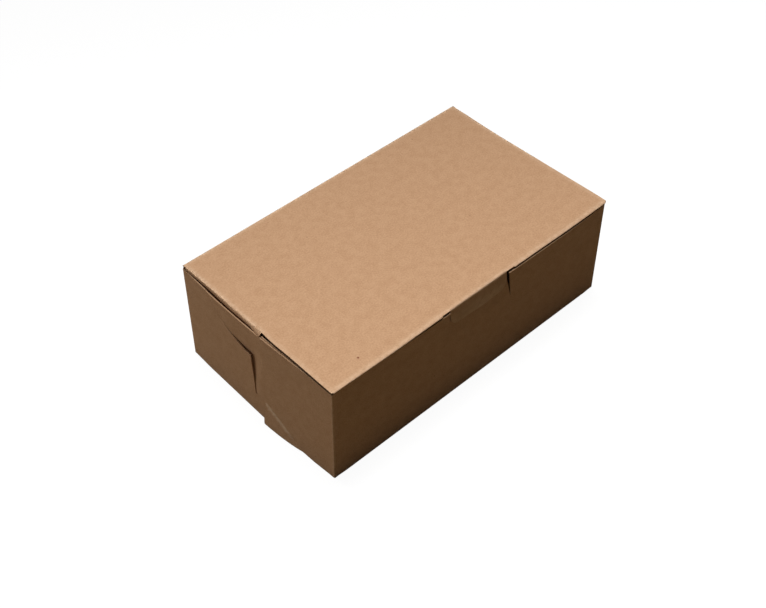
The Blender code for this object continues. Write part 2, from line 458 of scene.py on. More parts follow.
@dataclass(frozen=True)
class KraftFibres:
    """The board's mottle, grain, fibres and flecks.

    The fibres lie in a few directions. A fleck's radius, its rim and the share of cells without a
    fleck are shares of the flecks' spacing or of 1.
    """

    mottle_size: float = 4.0 * MM
    mottle_detail: float = 4.0
    grain_size: float = 0.7 * MM
    grain_detail: float = 4.0
    fibre_length: float = 1.5 * MM
    fibre_detail: float = 1.0
    fibre_turns: tuple[float, ...] = (0.25, 1.35, 2.4)
    fibre_stretch: float = 7.0
    fibre_breadth: float = 0.03
    fleck_spacing: float = 6.0 * MM
    fleckless_share: float = 0.35
    fleck_radius_share: float = 0.075
    fleck_rim_share: float = 0.02
    tone_shares: tuple[float, float, float] = (0.4, 0.4, 0.3)

    def build(self) -> bpy.types.NodeTree:
        """Build the node group.

        Returns:
            The group, which puts out a tone around 0.5, a mask of dark flecks and a relief.
        """
        mottle_share, grain_share, fibre_share = self.tone_shares
        takes = {
            "Place": (VECTOR, 0.0),
            "Mottle Size": (FLOAT, self.mottle_size),
            "Mottle Share": (FLOAT, mottle_share),
            "Grain Size": (FLOAT, self.grain_size),
            "Grain Share": (FLOAT, grain_share),
            "Fibre Length": (FLOAT, self.fibre_length),
            "Fibre Share": (FLOAT, fibre_share),
            "Fleck Spacing": (FLOAT, self.fleck_spacing),
        }
        wiring = new_group("kraft_fibres", takes, ("Tone", "Fleck", "Relief"))
        given = wiring.add("NodeGroupInput").outputs
        place = given["Place"]

        mottle = wiring.noise(place, given["Mottle Size"], self.mottle_detail)
        grain = wiring.noise(place, given["Grain Size"], self.grain_detail)
        strands = self.build_strands(wiring, place, given["Fibre Length"])
        fleck = self.build_flecks(wiring, place, given["Fleck Spacing"])

        tone = 0.5
        for value, share in ((mottle, "Mottle Share"), (grain, "Grain Share")):
            swing = wiring.maths("MULTIPLY", wiring.maths("SUBTRACT", value, 0.5), given[share])
            tone = wiring.maths("ADD", swing, tone)
        tone = wiring.maths("ADD", tone, wiring.maths("MULTIPLY", strands, given["Fibre Share"]))
        half_grain = wiring.maths("MULTIPLY", grain, 0.5)
        relief = wiring.maths("ADD", half_grain, wiring.maths("MULTIPLY", strands, 0.5))

        wiring.add("NodeGroupOutput", Tone=tone, Fleck=fleck, Relief=relief)
        return wiring.tree

    def build_strands(
        self, wiring: Wiring, place: bpy.types.NodeSocket, length: bpy.types.NodeSocket
    ) -> bpy.types.NodeSocket:
        """Add the nodes of the long thin fibres.

        Args:
            wiring: The wiring of the group.
            place: The place on the sheet.
            length: The length of the fibres.

        Returns:
            A mask of the fibres.
        """
        strands = None
        for turn in self.fibre_turns:
            turned = wiring.add(
                "ShaderNodeMapping",
                Vector=place,
                Rotation=(0.0, 0.0, turn),
                Scale=(1.0, self.fibre_stretch, 1.0),
            )
            wave = wiring.noise(turned.outputs["Vector"], length, self.fibre_detail)
            ridge = wiring.maths("ABSOLUTE", wiring.maths("SUBTRACT", wave, 0.5))
            strand = wiring.remap(ridge, 0.0, self.fibre_breadth, 1.0, 0.0)
            strands = strand if strands is None else wiring.maths("MAXIMUM", strands, strand)
        return strands

    def build_flecks(
        self, wiring: Wiring, place: bpy.types.NodeSocket, spacing: bpy.types.NodeSocket
    ) -> bpy.types.NodeSocket:
        """Add the nodes of the small dark flecks.

        Args:
            wiring: The wiring of the group.
            place: The place on the sheet.
            spacing: The distance between flecks.

        Returns:
            A mask of the flecks.
        """
        scale = wiring.maths("DIVIDE", 1.0, spacing)
        cells = wiring.add("ShaderNodeTexVoronoi", Vector=place, Scale=scale)
        chance = wiring.add("ShaderNodeSeparateColor", Color=cells.outputs["Color"]).outputs["Red"]
        radius = wiring.remap(chance, self.fleckless_share, 1.0, 0.0, self.fleck_radius_share)
        inside = wiring.maths("SUBTRACT", radius, cells.outputs["Distance"])
        return wiring.remap(inside, 0.0, self.fleck_rim_share, 0.0, 1.0)


@dataclass(frozen=True)
class CreaseWear:
    """The patches that break up the pale wear along creases, and the painted light laid through the
    same mask.
    """

    patch_size: float = 2.0 * MM
    patch_detail: float = 3.0
    patch_range: Point = (0.3, 0.7)
    least_share: float = 0.25
    amount: float = 0.5

    def build(self) -> bpy.types.NodeTree:
        """Build the node group.

        Returns:
            The group, which puts out a mask of worn board.
        """
        takes = {
            "Place": (VECTOR, 0.0),
            "Wear": (FLOAT, 0.0),
            "Patch Size": (FLOAT, self.patch_size),
            "Amount": (FLOAT, self.amount),
        }
        wiring = new_group("crease_wear", takes, ("Mask",))
        given = wiring.add("NodeGroupInput").outputs
        patches = wiring.noise(given["Place"], given["Patch Size"], self.patch_detail)
        broken = wiring.remap(patches, *self.patch_range, self.least_share, 1.0)
        worn = wiring.maths("MULTIPLY", given["Wear"], broken)
        mask = wiring.maths("MULTIPLY", worn, given["Amount"])
        wiring.add("NodeGroupOutput", Mask=mask)
        return wiring.tree


@dataclass(frozen=True)
class KraftFinish:
    """One side of uncoated kraft board.

    The colours are linear. Tone runs from dark to light over the board's grain, flecks and worn
    creases are laid over it, and the relief is the height of the fibres. The worn colour also serves
    as painted light on the lock tongue and along the toe's crease. A spot is one larger fleck, at a
    place on the sheet.
    """

    name: str
    dark: Colour
    light: Colour
    fleck: Colour
    worn: Colour
    mottle: float
    grain: float
    fibre: float
    fleck_strength: float
    wear_amount: float
    roughness: Point
    relief: float
    specular: float
    squeeze: float = 1.0
    spot: Place | None = None
    spot_colour: Colour = (0.16, 0.03, 0.015)
    spot_radius: float = 0.6 * MM
    spot_core_share: float = 0.3

    def build(self, fibres: bpy.types.NodeTree, wear: bpy.types.NodeTree) -> bpy.types.Material:
        """Build the material.

        Args:
            fibres: The node group of the board's grain.
            wear: The node group of the creases' wear.

        Returns:
            The material.
        """
        material = bpy.data.materials.new(self.name)
        material.use_nodes = True
        wiring = Wiring(material.node_tree)
        shader = material.node_tree.nodes["Principled BSDF"]
        sheet = wiring.add("ShaderNodeAttribute", {"attribute_name": "sheet"}).outputs["Vector"]
        worn_at = wiring.add("ShaderNodeAttribute", {"attribute_name": "wear"}).outputs["Fac"]
        mapping = wiring.add("ShaderNodeMapping", Vector=sheet, Scale=(1.0, 1.0, self.squeeze))
        place = mapping.outputs["Vector"]

        board = wiring.add("ShaderNodeGroup", {"node_tree": fibres}, Place=place)
        board.inputs["Mottle Share"].default_value = self.mottle
        board.inputs["Grain Share"].default_value = self.grain
        board.inputs["Fibre Share"].default_value = self.fibre
        crease = wiring.add("ShaderNodeGroup", {"node_tree": wear}, Place=place, Wear=worn_at)
        crease.inputs["Amount"].default_value = self.wear_amount

        tone = board.outputs["Tone"]
        colour = wiring.blend(tone, (*self.dark, 1.0), (*self.light, 1.0))
        specks = wiring.maths("MULTIPLY", board.outputs["Fleck"], self.fleck_strength)
        colour = wiring.blend(specks, colour, (*self.fleck, 1.0))
        if self.spot is not None:
            inside = self.build_spot(wiring, sheet)
            colour = wiring.blend(inside, colour, (*self.spot_colour, 1.0))
        colour = wiring.blend(crease.outputs["Mask"], colour, (*self.worn, 1.0))
        material.node_tree.links.new(colour, shader.inputs["Base Color"])

        rough = wiring.remap(tone, 0.0, 1.0, *self.roughness)
        material.node_tree.links.new(rough, shader.inputs["Roughness"])
        bump = wiring.add(
            "ShaderNodeBump", Strength=1.0, Distance=self.relief, Height=board.outputs["Relief"]
        )
        material.node_tree.links.new(bump.outputs["Normal"], shader.inputs["Normal"])
        shader.inputs["Specular IOR Level"].default_value = self.specular
        return material

    def build_spot(self, wiring: Wiring, sheet: bpy.types.NodeSocket) -> bpy.types.NodeSocket:
        """Add the nodes of the one larger fleck.

        Args:
            wiring: The material's wiring.
            sheet: The place on the sheet.

        Returns:
            A mask of the fleck.
        """
        away = wiring.add(
            "ShaderNodeVectorMath", {"operation": "DISTANCE"}, at0=sheet, at1=self.spot
        )
        core = self.spot_core_share * self.spot_radius
        return wiring.remap(away.outputs["Value"], core, self.spot_radius, 1.0, 0.0)


OUTER_FACE = KraftFinish(
    name="kraft_outer_face",
    dark=(0.50, 0.286, 0.157),
    light=(0.60, 0.365, 0.214),
    fleck=(0.22, 0.11, 0.05),
    # Paler than wear alone needs: through the wear mask this colour also paints light on the lock
    # tongue and a highlight along the toe's crease.
    worn=(0.76, 0.54, 0.36),
    mottle=1.35,
    grain=2.7,
    fibre=0.25,
    fleck_strength=0.4,
    wear_amount=0.7,
    spot=(-60.3 * MM, 188.05 * MM, 0.0),
    roughness=(0.92, 0.8),
    relief=0.03 * MM,
    specular=0.08,
)
# Painted shade: the cut edges are coloured darker than the faces, for the rims that lie in shade
# under the lid's edges.
SHADED_CUT_EDGE = KraftFinish(
    name="kraft_cut_edge_painted_shade",
    dark=(0.30, 0.18, 0.10),
    light=(0.45, 0.285, 0.175),
    fleck=(0.3, 0.16, 0.08),
    worn=(0.66, 0.44, 0.28),
    mottle=0.5,
    grain=1.4,
    fibre=0.2,
    fleck_strength=0.2,
    wear_amount=0.2,
    roughness=(0.97, 0.9),
    relief=0.04 * MM,
    specular=0.04,
    squeeze=6.0,
)
INNER_FACE = KraftFinish(
    name="kraft_inner_face",
    dark=(0.49, 0.30, 0.175),
    light=(0.62, 0.40, 0.25),
    fleck=(0.24, 0.13, 0.06),
    worn=(0.64, 0.44, 0.29),
    mottle=1.1,
    grain=1.1,
    fibre=0.16,
    fleck_strength=0.6,
    wear_amount=0.2,
    roughness=(0.95, 0.85),
    relief=0.04 * MM,
    specular=0.05,
)


@dataclass
class EndShape:
    """How the locked flaps of an end stand out from the plane of the box's corners.

    The rear flap is the outer layer up to its slot and the front one beyond its free edge. The toe is
    the front flap's free foot corner, which is bent out along a slanting crease.
    """

    rim_drop: float = 1.9 * MM
    slot_reach: float = 45.8 * MM
    slot_top: float = 17.8 * MM
    slot_lift: float = 0.2 * MM
    slot_lift_size: float = 9.0 * MM
    lock_drop: float = 40.6 * MM
    lock_run: float = 1.5 * MM
    free_reach: float = 53.0 * MM
    lead_start: float = 16.3 * MM
    rim_lean: float = -0.33 * MM
    foot_lean: float = 0.45 * MM
    rim_bow: float = 1.3 * MM
    rim_peak: float = 38.0 * MM
    rim_power: float = 1.3
    foot_rise: float = 0.5 * MM
    foot_rise_run: float = 14.0 * MM
    foot_slope: float = 0.0165
    layer: float = 0.52 * MM
    least_recess: float = 0.03 * MM
    lead_recess: float = 0.12 * MM
    lead_recess_start: float = 24.0 * MM
    lead_recess_run: float = 6.0 * MM
    slot_recess: float = 1.45 * MM
    recess_reach: float = 20.0 * MM
    recess_above: float = 14.0 * MM
    recess_below: float = 30.0 * MM
    cover_start: float = 0.7 * MM
    cover_run: float = 1.3 * MM
    toe_top: float = 41.5 * MM
    toe_end: float = 75.5 * MM
    toe_slope: float = 0.45
    toe_fullness: float = 2.2 * MM
    toe_lift: float = 1.85 * MM
    rear_inset: float = 0.2 * MM

    def down(self, drop: float) -> float:
        """Return the share of the way from the rim to the foot."""
        return min(1.0, max(0.0, (drop - self.rim_drop) / (HEIGHT - self.rim_drop)))

    def lean(self, drop: float) -> float:
        """Return how far the box's corners lean out along its length."""
        return mix(self.rim_lean, self.foot_lean, self.down(drop))

    def surface(self, reach: float, drop: float, away: float) -> float:
        """Return how far the outer face of an outer layer stands out.

        Args:
            reach: The reach of the place.
            drop: The drop of the place.
            away: How far it is from the flap's own fold.

        Returns:
            The distance from the corners' plane.
        """
        if reach < self.rim_peak:
            share = math.sin(QUARTER_TURN * max(0.0, reach) / self.rim_peak) ** self.rim_power
        else:
            along = min(1.0, (reach - self.rim_peak) / (DEPTH - self.rim_peak))
            share = math.cos(QUARTER_TURN * along) ** 2
        rim = self.rim_lean + self.rim_bow * share
        foot = self.foot_lean + self.foot_rise * ease(away / self.foot_rise_run)
        return mix(rim, foot + self.foot_slope * max(0.0, away), self.down(drop))

    def rear_face(self, reach: float, drop: float) -> float:
        """Return how far the rear lock flap stands out where it is the outer layer.

        Args:
            reach: The reach of the place.
            drop: The drop of the place.

        Returns:
            The distance from the corners' plane.
        """
        away = math.hypot(reach - self.slot_reach, drop - self.slot_top)
        inset = self.rear_inset * self.down(drop) * ease(reach / self.foot_rise_run)
        lift = self.slot_lift * near(away, self.slot_lift_size)
        return self.surface(reach, drop, reach) + lift - inset

    def front_face(self, reach: float, drop: float) -> float:
        """Return how far the front lock flap stands out where it is the outer layer.

        Args:
            reach: The reach of the place.
            drop: The drop of the place.

        Returns:
            The distance from the corners' plane.
        """
        across, down = self.toe_end - self.free_reach, HEIGHT - self.toe_top
        below = (drop - self.toe_top) * across - (reach - self.free_reach) * down
        below = max(0.0, below / math.hypot(across, down))
        toe = self.toe_fullness * (1.0 - math.exp(-self.toe_slope * below / self.toe_fullness))
        return self.surface(reach, drop, DEPTH - reach) + min(self.toe_lift, toe)

    def lead_drop(self, reach: float) -> float:
        """Return how low the rear lock flap's lead is, which curves from its rim to its slot.

        Args:
            reach: The reach of the place.

        Returns:
            The drop of the lead there.
        """
        left = (self.slot_reach - reach) / (self.slot_reach - self.lead_start)
        left = min(1.0, max(0.0, left))
        return self.rim_drop + (self.slot_top - self.rim_drop) * (1.0 - left * left)

    def recess(self, reach: float, drop: float) -> float:
        """Return how far the front lock flap lies behind the rear one's outer face.

        It is nearly flush above the lead, a whole layer behind where the rear flap covers it, and
        furthest behind at the slot's top, where the lock gapes.

        Args:
            reach: The reach of the place.
            drop: The drop of the place.

        Returns:
            The depth under the rear flap's outer face.
        """
        inner = min(reach, self.slot_reach)
        off = drop - self.slot_top
        off /= -self.recess_above if off < 0.0 else self.recess_below
        gape = (1.0 - ease((self.slot_reach - inner) / self.recess_reach)) * (1.0 - ease(off))
        opening = self.slot_recess * gape
        beside = self.lead_recess * ease((inner - self.lead_recess_start) / self.lead_recess_run)
        shown = max(opening, beside, self.least_recess)
        covered = drop - self.lead_drop(inner) - self.cover_start
        depth = mix(shown, max(opening, self.layer), ease(covered / self.cover_run))
        low = ease((drop - self.slot_top) / (self.lock_drop - self.slot_top))
        run = mix(self.free_reach - self.slot_reach, self.lock_run, low)
        return depth * (1.0 - ease((reach - self.slot_reach) / run))

    def crossing(self, reach: float) -> float:
        """Return the share of the way from the slot to the free edge, eased at both ends."""
        return ease((reach - self.slot_reach) / (self.free_reach - self.slot_reach))

    def rear_stand(self, reach: float, drop: float) -> float:
        """Return how far the rear lock flap stands out, from its fold to its hidden barb.

        Args:
            reach: The reach of the place.
            drop: The drop of the place.

        Returns:
            The distance from the corners' plane.
        """
        shown = self.rear_face(reach, drop)
        behind = self.front_face(max(reach, self.free_reach), drop) - self.layer
        return mix(shown, min(shown, behind), self.crossing(reach))

    def front_stand(self, reach: float, drop: float) -> float:
        """Return how far the front lock flap stands out, from its fold to its hidden hook.

        Args:
            reach: The reach of the place.
            drop: The drop of the place.

        Returns:
            The distance from the corners' plane.
        """
        if reach >= self.free_reach:
            return self.front_face(reach, drop)
        rear = self.rear_face(min(reach, self.slot_reach), drop)
        whole = mix(rear, self.front_face(self.free_reach, drop), self.crossing(reach))
        return whole - self.recess(reach, drop)


@dataclass
class FoldedBand:
    """A wall with a lock flap at each end, folded round the box's corners as one band.

    A place on the band is a run along it, from the middle of the wall, and a height. The scores near
    a corner are distances from its fold, on the wall and on the flap.
    """

    facing: float
    shape: EndShape
    corner_radius: float = 0.55 * MM
    corner_steps: int = 6
    foot_radius: float = 0.3 * MM
    foot_shares: tuple[float, ...] = (0.25, 0.5, 0.75, 1.0)
    foot_fade: float = 3.0 * MM
    wall_scores: tuple[float, ...] = (0.35 * MM, 0.8 * MM, 1.5 * MM)
    flap_scores: tuple[float, ...] = (0.35 * MM, 0.8 * MM)
    spacing: float = 1.3 * MM
    wall_coarseness: float = 4.0
    wear_width: float = 0.6 * MM

    @property
    def flat(self) -> float:
        """Return the run at which the corner's fold starts."""
        return HALF_LENGTH - self.corner_radius

    @property
    def quarter(self) -> float:
        """Return the run that the corner's fold takes."""
        return QUARTER_TURN * self.corner_radius

    def run_at(self, inset: float) -> float:
        """Return the run of a place on a flap that lies inset behind the wall's outer face."""
        return self.flat + self.quarter + inset - self.corner_radius

    def plan(self, run: float) -> tuple[Vector, Vector, float]:
        """Return where a run comes to on the plan.

        Args:
            run: The place along the band.

        Returns:
            The point on the corners' plane, the outward direction, and the inset behind the wall's
            outer face.
        """
        side = math.copysign(1.0, run)
        turn = (abs(run) - self.flat) / self.corner_radius
        angle = min(QUARTER_TURN, max(0.0, turn))
        past = max(0.0, turn - QUARTER_TURN) * self.corner_radius
        inset = self.corner_radius * (1.0 - math.cos(angle)) + past
        if turn <= 0.0:
            along = run
        else:
            along = side * (self.flat + self.corner_radius * math.sin(angle))
        point = Vector((along, self.facing * (HALF_DEPTH - inset), 0.0))
        outward = Vector((side * math.sin(angle), self.facing * math.cos(angle), 0.0))
        return point, outward, inset

    def folded(self, run: float, height: float, depth: float, stand: float) -> Vector:
        """Return the position of a place on the band.

        Args:
            run: The place along the band.
            height: The place up the band.
            depth: How deep it lies under the outer face.
            stand: How far the outer face stands out there from the leaning corner.

        Returns:
            The position.
        """
        point, outward, _ = self.plan(run)
        lean = self.shape.lean(HEIGHT - height)
        point.x += lean * max(-1.0, min(1.0, run / self.flat))
        radius = self.foot_radius * ease((self.flat - abs(run)) / self.foot_fade)
        angle = 0.0
        level = height
        if height < radius:
            angle = QUARTER_TURN * (1.0 - height / radius)
            level = radius * (1.0 - math.sin(angle))
        normal = outward * math.cos(angle) - Vector((0.0, 0.0, math.sin(angle)))
        start = point + outward * (stand - radius * (1.0 - math.cos(angle)))
        start.z = level
        return start - normal * depth

    def wear_at(self, run: float, height: float) -> float:
        """Return how worn the board is, along the corners' folds and the foot's fold.

        Args:
            run: The place along the band.
            height: The place up the band.

        Returns:
            The wear, from 0 to 1.
        """
        corner = near(abs(run) - (self.flat + self.quarter / 2), self.wear_width)
        foot = near(height - self.foot_radius / 2, self.wear_width)
        return max(corner, foot if abs(run) < self.flat else 0.0)

    def score(self, blank: Blank, length: float, height: float) -> None:
        """Score a blank of the band for its folds and its bow.

        Args:
            blank: The flat cut.
            length: How far the band runs from its middle.
            height: How high the band is.
        """
        blank.score(Axis.ALONG, spaced(0.0, height, self.spacing))
        blank.score(Axis.ALONG, [self.foot_radius * share for share in self.foot_shares])
        corner, steps = self.flat + self.quarter, self.corner_steps
        for side in SIDES:
            turn = [side * (self.flat + self.quarter * step / steps) for step in range(steps + 1)]
            wall = [side * (self.flat - distance) for distance in self.wall_scores]
            flap = [side * (corner + distance) for distance in self.flap_scores]
            rest = [side * place for place in spaced(corner, length, self.spacing)]
            blank.score(Axis.ACROSS, turn + wall + flap + rest)
        wall_spacing = self.wall_coarseness * self.spacing
        blank.score(Axis.ACROSS, spaced(-self.flat, self.flat, wall_spacing))


@dataclass
class Tray:
    """The floor, the four walls and the locked corner flaps.

    The hooks are the hidden parts of the front lock flaps, and the barbs those of the rear ones.
    """

    shape: EndShape = field(default_factory=EndShape)
    floor_radius: float = 0.6 * MM
    floor_steps: int = 5
    floor_spacing: float = 6.0 * MM
    end_face: float = 79.2 * MM
    inner_half_depth: float = 46.7 * MM
    inner_rim_drop: float = 1.5 * MM
    inner_rear_drop: float = 3.4 * MM
    inner_step: float = -5.3 * MM
    inner_step_run: float = 0.3 * MM
    inner_lean_start: float = 1.0 * MM
    inner_lean_run: float = 1.5 * MM
    inner_gap: float = 0.08 * MM
    inner_rounding: float = 1.5 * MM
    inner_wear_width: float = 1.0 * MM
    front_rim: float = 52.0 * MM
    tab_half: float = 16.5 * MM
    tab_inset: float = 0.5 * MM
    tab_margin: float = 0.1 * MM
    slit_splay: float = 3.3 * MM
    slit_depth: float = 14.9 * MM
    slit_widths: tuple[Point, ...] = ((0.25 * MM, 0.12 * MM), (1.1 * MM, 0.3 * MM))
    foot_out: float = 0.27 * MM
    foot_height: float = 14.0 * MM
    foot_calm_run: float = 6.0 * MM
    rim_bow: tuple[Point, ...] = (
        (-80.0 * MM, 0.0),
        (-74.0 * MM, -0.08 * MM),
        (-42.0 * MM, 0.35 * MM),
        (-15.0 * MM, 0.58 * MM),
        (12.0 * MM, 0.78 * MM),
        (40.0 * MM, 0.95 * MM),
        (64.0 * MM, 0.85 * MM),
        (80.0 * MM, 0.0),
    )
    hook_reach: float = 12.0 * MM
    hook_top: float = 2.3 * MM
    hook_low_reach: float = 16.0 * MM
    hook_low: float = 50.3 * MM
    hook_clear: float = 0.7 * MM
    neck_top: float = 40.4 * MM
    neck_foot: float = 42.0 * MM
    hook_rounding: float = 2.5 * MM
    toe_rounding: float = 0.6 * MM
    toe_scores: tuple[float, ...] = (-0.4 * MM, 0.0, 0.4 * MM)
    # The toe's crease is paled three times as strongly as the folds: partly wear, partly a painted
    # highlight of its ridge catching the light.
    toe_wear_and_highlight: float = 3.0
    toe_wear_and_highlight_width: float = 0.5 * MM
    toe_fade_share: float = 0.5
    toe_fade_run_share: float = 0.3
    barb_past: float = 0.7 * MM
    barb_top: float = 27.0 * MM
    barb_fall: float = 1.6 * MM
    tail_reach: float = 71.5 * MM
    tail_drop: float = 36.0 * MM
    tail_foot_reach: float = 67.5 * MM
    slot_half: float = 0.4 * MM
    slot_rounding: float = 0.5 * MM
    lead_steps: int = 10
    back_notch: float = 0.2 * MM
    back_inset: float = 0.5 * MM
    back_wear_width: float = 1.1 * MM
    back_wear_rise: float = 0.5 * MM
    wall_ripple: float = 0.12 * MM
    ripple_size: float = 34.0 * MM
    calm_run: float = 8.0 * MM

    def build(self, finishes: Finishes) -> None:
        """Build the tray's pieces and put them on their body.

        Args:
            finishes: The materials of the outer face, the cut edges and the inner face.
        """
        floor = self.build_floor(finishes)
        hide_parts("base_panel", "left_end_panel", "right_end_panel")
        front = self.build_front(finishes)
        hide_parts("front_wall", "left_front_lock_flap", "right_front_lock_flap")
        back = self.build_back(finishes)
        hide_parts("back_wall", "left_rear_lock_flap", "right_rear_lock_flap")
        for piece in (floor, front, back):
            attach(piece, "tray")

    def build_floor(self, finishes: Finishes) -> bpy.types.Object:
        """Build the floor with the two inner end panels folded up from it.

        Args:
            finishes: The materials of the outer face, the cut edges and the inner face.

        Returns:
            The piece.
        """
        flat = self.end_face - self.floor_radius
        quarter = QUARTER_TURN * self.floor_radius

        def run_at(height: float) -> float:
            """Return the run at which an end panel reaches a height."""
            return flat + quarter + height - self.floor_radius

        high = run_at(HEIGHT - self.inner_rim_drop)
        low = run_at(HEIGHT - self.inner_rear_drop)
        deep, step, steps = self.inner_half_depth, self.inner_step, self.floor_steps
        half = [(high, -deep), (high, step), (low, step + self.inner_step_run), (low, deep)]
        corners = [(side * run, place) for side in SIDES for run, place in (half[0], half[3])]
        blank = Blank(mirrored(half))
        blank.round_corners(corners, self.inner_rounding)
        for side in SIDES:
            fold = [side * (flat + quarter * index / steps) for index in range(steps + 1)]
            end = [side * place for place in spaced(flat + quarter, high, self.floor_spacing)]
            blank.score(Axis.ACROSS, fold + end)
        blank.score(Axis.ACROSS, spaced(-flat, flat, self.floor_spacing))
        blank.score(Axis.ALONG, spaced(-deep, deep, self.floor_spacing))
        blank.thicken()

        def folder(run: float, place: float, depth: float) -> Vector:
            """Fold an end panel up from the floor, and lean it out behind the front lock flap.

            Args:
                run: How far from the floor's middle.
                place: The place across the box.
                depth: How deep it lies under the outer face.

            Returns:
                The position.
            """
            side = math.copysign(1.0, run)
            turn = (abs(run) - flat) / self.floor_radius
            angle = min(QUARTER_TURN, max(0.0, turn))
            past = max(0.0, turn - QUARTER_TURN) * self.floor_radius
            out = abs(run) if turn <= 0.0 else flat + self.floor_radius * math.sin(angle)
            up = self.floor_radius * (1.0 - math.cos(angle)) + past
            flap = HALF_LENGTH + self.shape.surface(HALF_DEPTH - place, HEIGHT - up, 0.0)
            room = flap - BOARD - self.end_face
            ahead = self.inner_step + self.inner_lean_start - place
            lean = ease(ahead / self.inner_lean_run) * ease(up / HEIGHT)
            out += max(0.0, room - self.inner_gap) * lean
            return Vector(
                (side * (out - depth * math.sin(angle)), place, up + depth * math.cos(angle))
            )

        def wear(run: float, _: float) -> float:
            """Return the wear along the two creases."""
            return near(abs(run) - flat - quarter / 2, self.inner_wear_width)

        blank.fold(folder, lambda run, place: (run, place), wear)
        return blank.finish("floor_and_end_panels", finishes)

    def build_front(self, finishes: Finishes) -> bpy.types.Object:
        """Build the front wall with its slits, its leaning tab and its two lock flaps.

        Args:
            finishes: The materials of the outer face, the cut edges and the inner face.

        Returns:
            The piece.
        """
        band = FoldedBand(-1.0, self.shape)
        shape = self.shape
        rim = self.front_rim
        foot = rim - self.slit_depth
        tab_foot = self.tab_half + self.slit_splay

        def corner(reach: float, drop: float) -> Point:
            """Return a place on the flap as a run and a height."""
            return band.run_at(DEPTH - reach), HEIGHT - drop

        hook = [
            corner(self.hook_reach, self.hook_top),
            corner(self.hook_low_reach, self.hook_low),
            corner(shape.slot_reach - self.hook_clear, self.hook_low),
        ]
        toe = (band.run_at(DEPTH - shape.free_reach), 0.0)
        outline = mirrored(
            [
                (band.flat, rim),
                corner(shape.free_reach, shape.rim_drop),
                *hook,
                corner(shape.slot_reach - self.hook_clear, self.neck_top),
                corner(shape.free_reach, self.neck_foot),
                toe,
            ]
        )
        for side, (wide, narrow) in zip(SIDES, self.slit_widths):
            slit = [(self.tab_half + wide, rim), (tab_foot + narrow, foot)]
            slit += [(tab_foot, foot), (self.tab_half, rim)]
            outline += [(side * run, height) for run, height in slit[:: int(-side)]]
        blank = Blank(outline)
        blank.round_corners(both_ends(hook), self.hook_rounding)
        blank.round_corners(both_ends([toe]), self.toe_rounding, 3)
        band.score(blank, band.run_at(DEPTH - self.hook_reach), rim)
        blank.score(Axis.ALONG, [foot])
        crease = corner(shape.free_reach, shape.toe_top), corner(shape.toe_end, HEIGHT)
        slope = Vector(crease[1]) - Vector(crease[0])
        normal = Vector((-slope.y, slope.x)).normalized()
        for side in SIDES:
            for offset in self.toe_scores:
                ends = [Vector(place) + normal * offset for place in crease]
                blank.score_line(*[(side * place.x, place.y) for place in ends])
        blank.thicken()

        def stand(run: float, height: float) -> float:
            """Return how far the outer face stands out from the corners' plane.

            Args:
                run: The place along the band.
                height: The place up the band.

            Returns:
                The distance.
            """
            _, _, inset = band.plan(run)
            drop = HEIGHT - height
            from_corner = band.flat - abs(run)
            if from_corner < 0.0:
                return shape.front_stand(DEPTH - inset, drop) - shape.lean(drop)
            bow = through(self.rim_bow, run) * (height / rim) ** 2
            rise = (height - foot) / self.slit_depth
            edge = tab_foot - self.slit_splay * max(0.0, rise)
            if rise > 0.0 and abs(run) < edge + self.tab_margin:
                bow = mix(bow, -self.tab_inset, rise)
            out = self.foot_out * ease(1.0 - height / self.foot_height)
            bow += out * ease(from_corner / self.foot_calm_run)
            calm = calmed(self.calm_run, height, from_corner)
            return bow - ripple(run, height, self.ripple_size, self.wall_ripple) * calm

        def folder(run: float, height: float, depth: float) -> Vector:
            """Fold the band round the corners and bow its flaps."""
            return band.folded(run, height, depth, stand(run, height))

        def wear(run: float, height: float) -> float:
            """Return the wear along the folds, and a pale line along the toe's crease that is partly
            wear and partly a painted highlight of its ridge catching the light.

            Args:
                run: The place along the band.
                height: The place up the band.

            Returns:
                The wear, which is past 1 along the toe's crease, so that its pale line, partly a
                painted highlight, stays strong through the patches.
            """
            away = Vector((abs(run), height)) - Vector(crease[0])
            along = away.dot(slope) / slope.length_squared
            fade = 1.0 - ease((along - self.toe_fade_share) / self.toe_fade_run_share)
            toe_fold = near(away.dot(normal), self.toe_wear_and_highlight_width) * fade if along >= 0.0 else 0.0
            return max(band.wear_at(run, height), self.toe_wear_and_highlight * toe_fold)

        blank.fold(folder, lambda run, height: (run, -HALF_DEPTH - height), wear)
        return blank.finish("front_wall_and_lock_flaps", finishes)

    def build_back(self, finishes: Finishes) -> bpy.types.Object:
        """Build the back wall with its two lock flaps.

        Args:
            finishes: The materials of the outer face, the cut edges and the inner face.

        Returns:
            The piece.
        """
        band = FoldedBand(1.0, self.shape)
        shape = self.shape

        def corner(reach: float, drop: float) -> Point:
            """Return a place on the flap as a run and a height."""
            return band.run_at(reach), HEIGHT - drop

        steps = self.lead_steps
        leads = [mix(shape.lead_start, shape.slot_reach, index / steps) for index in range(steps)]
        slot_top = corner(shape.slot_reach - self.slot_half, shape.slot_top)
        barb_reach = shape.free_reach + self.barb_past
        barb = [corner(barb_reach, self.barb_top), corner(self.tail_reach, self.tail_drop)]
        half = [
            (band.flat - self.back_inset, BACK_RIM),
            (band.flat + self.back_notch, HEIGHT - shape.rim_drop),
            *[corner(reach, shape.lead_drop(reach)) for reach in leads],
            slot_top,
            corner(shape.slot_reach + self.slot_half, shape.lock_drop),
            corner(barb_reach, shape.lock_drop + self.barb_fall),
            *barb,
            corner(self.tail_foot_reach, HEIGHT),
        ]
        blank = Blank(mirrored(half))
        blank.round_corners(both_ends(barb), self.hook_rounding)
        blank.round_corners(both_ends([slot_top]), self.slot_rounding, 3)
        band.score(blank, band.run_at(self.tail_reach), BACK_RIM)
        blank.thicken()

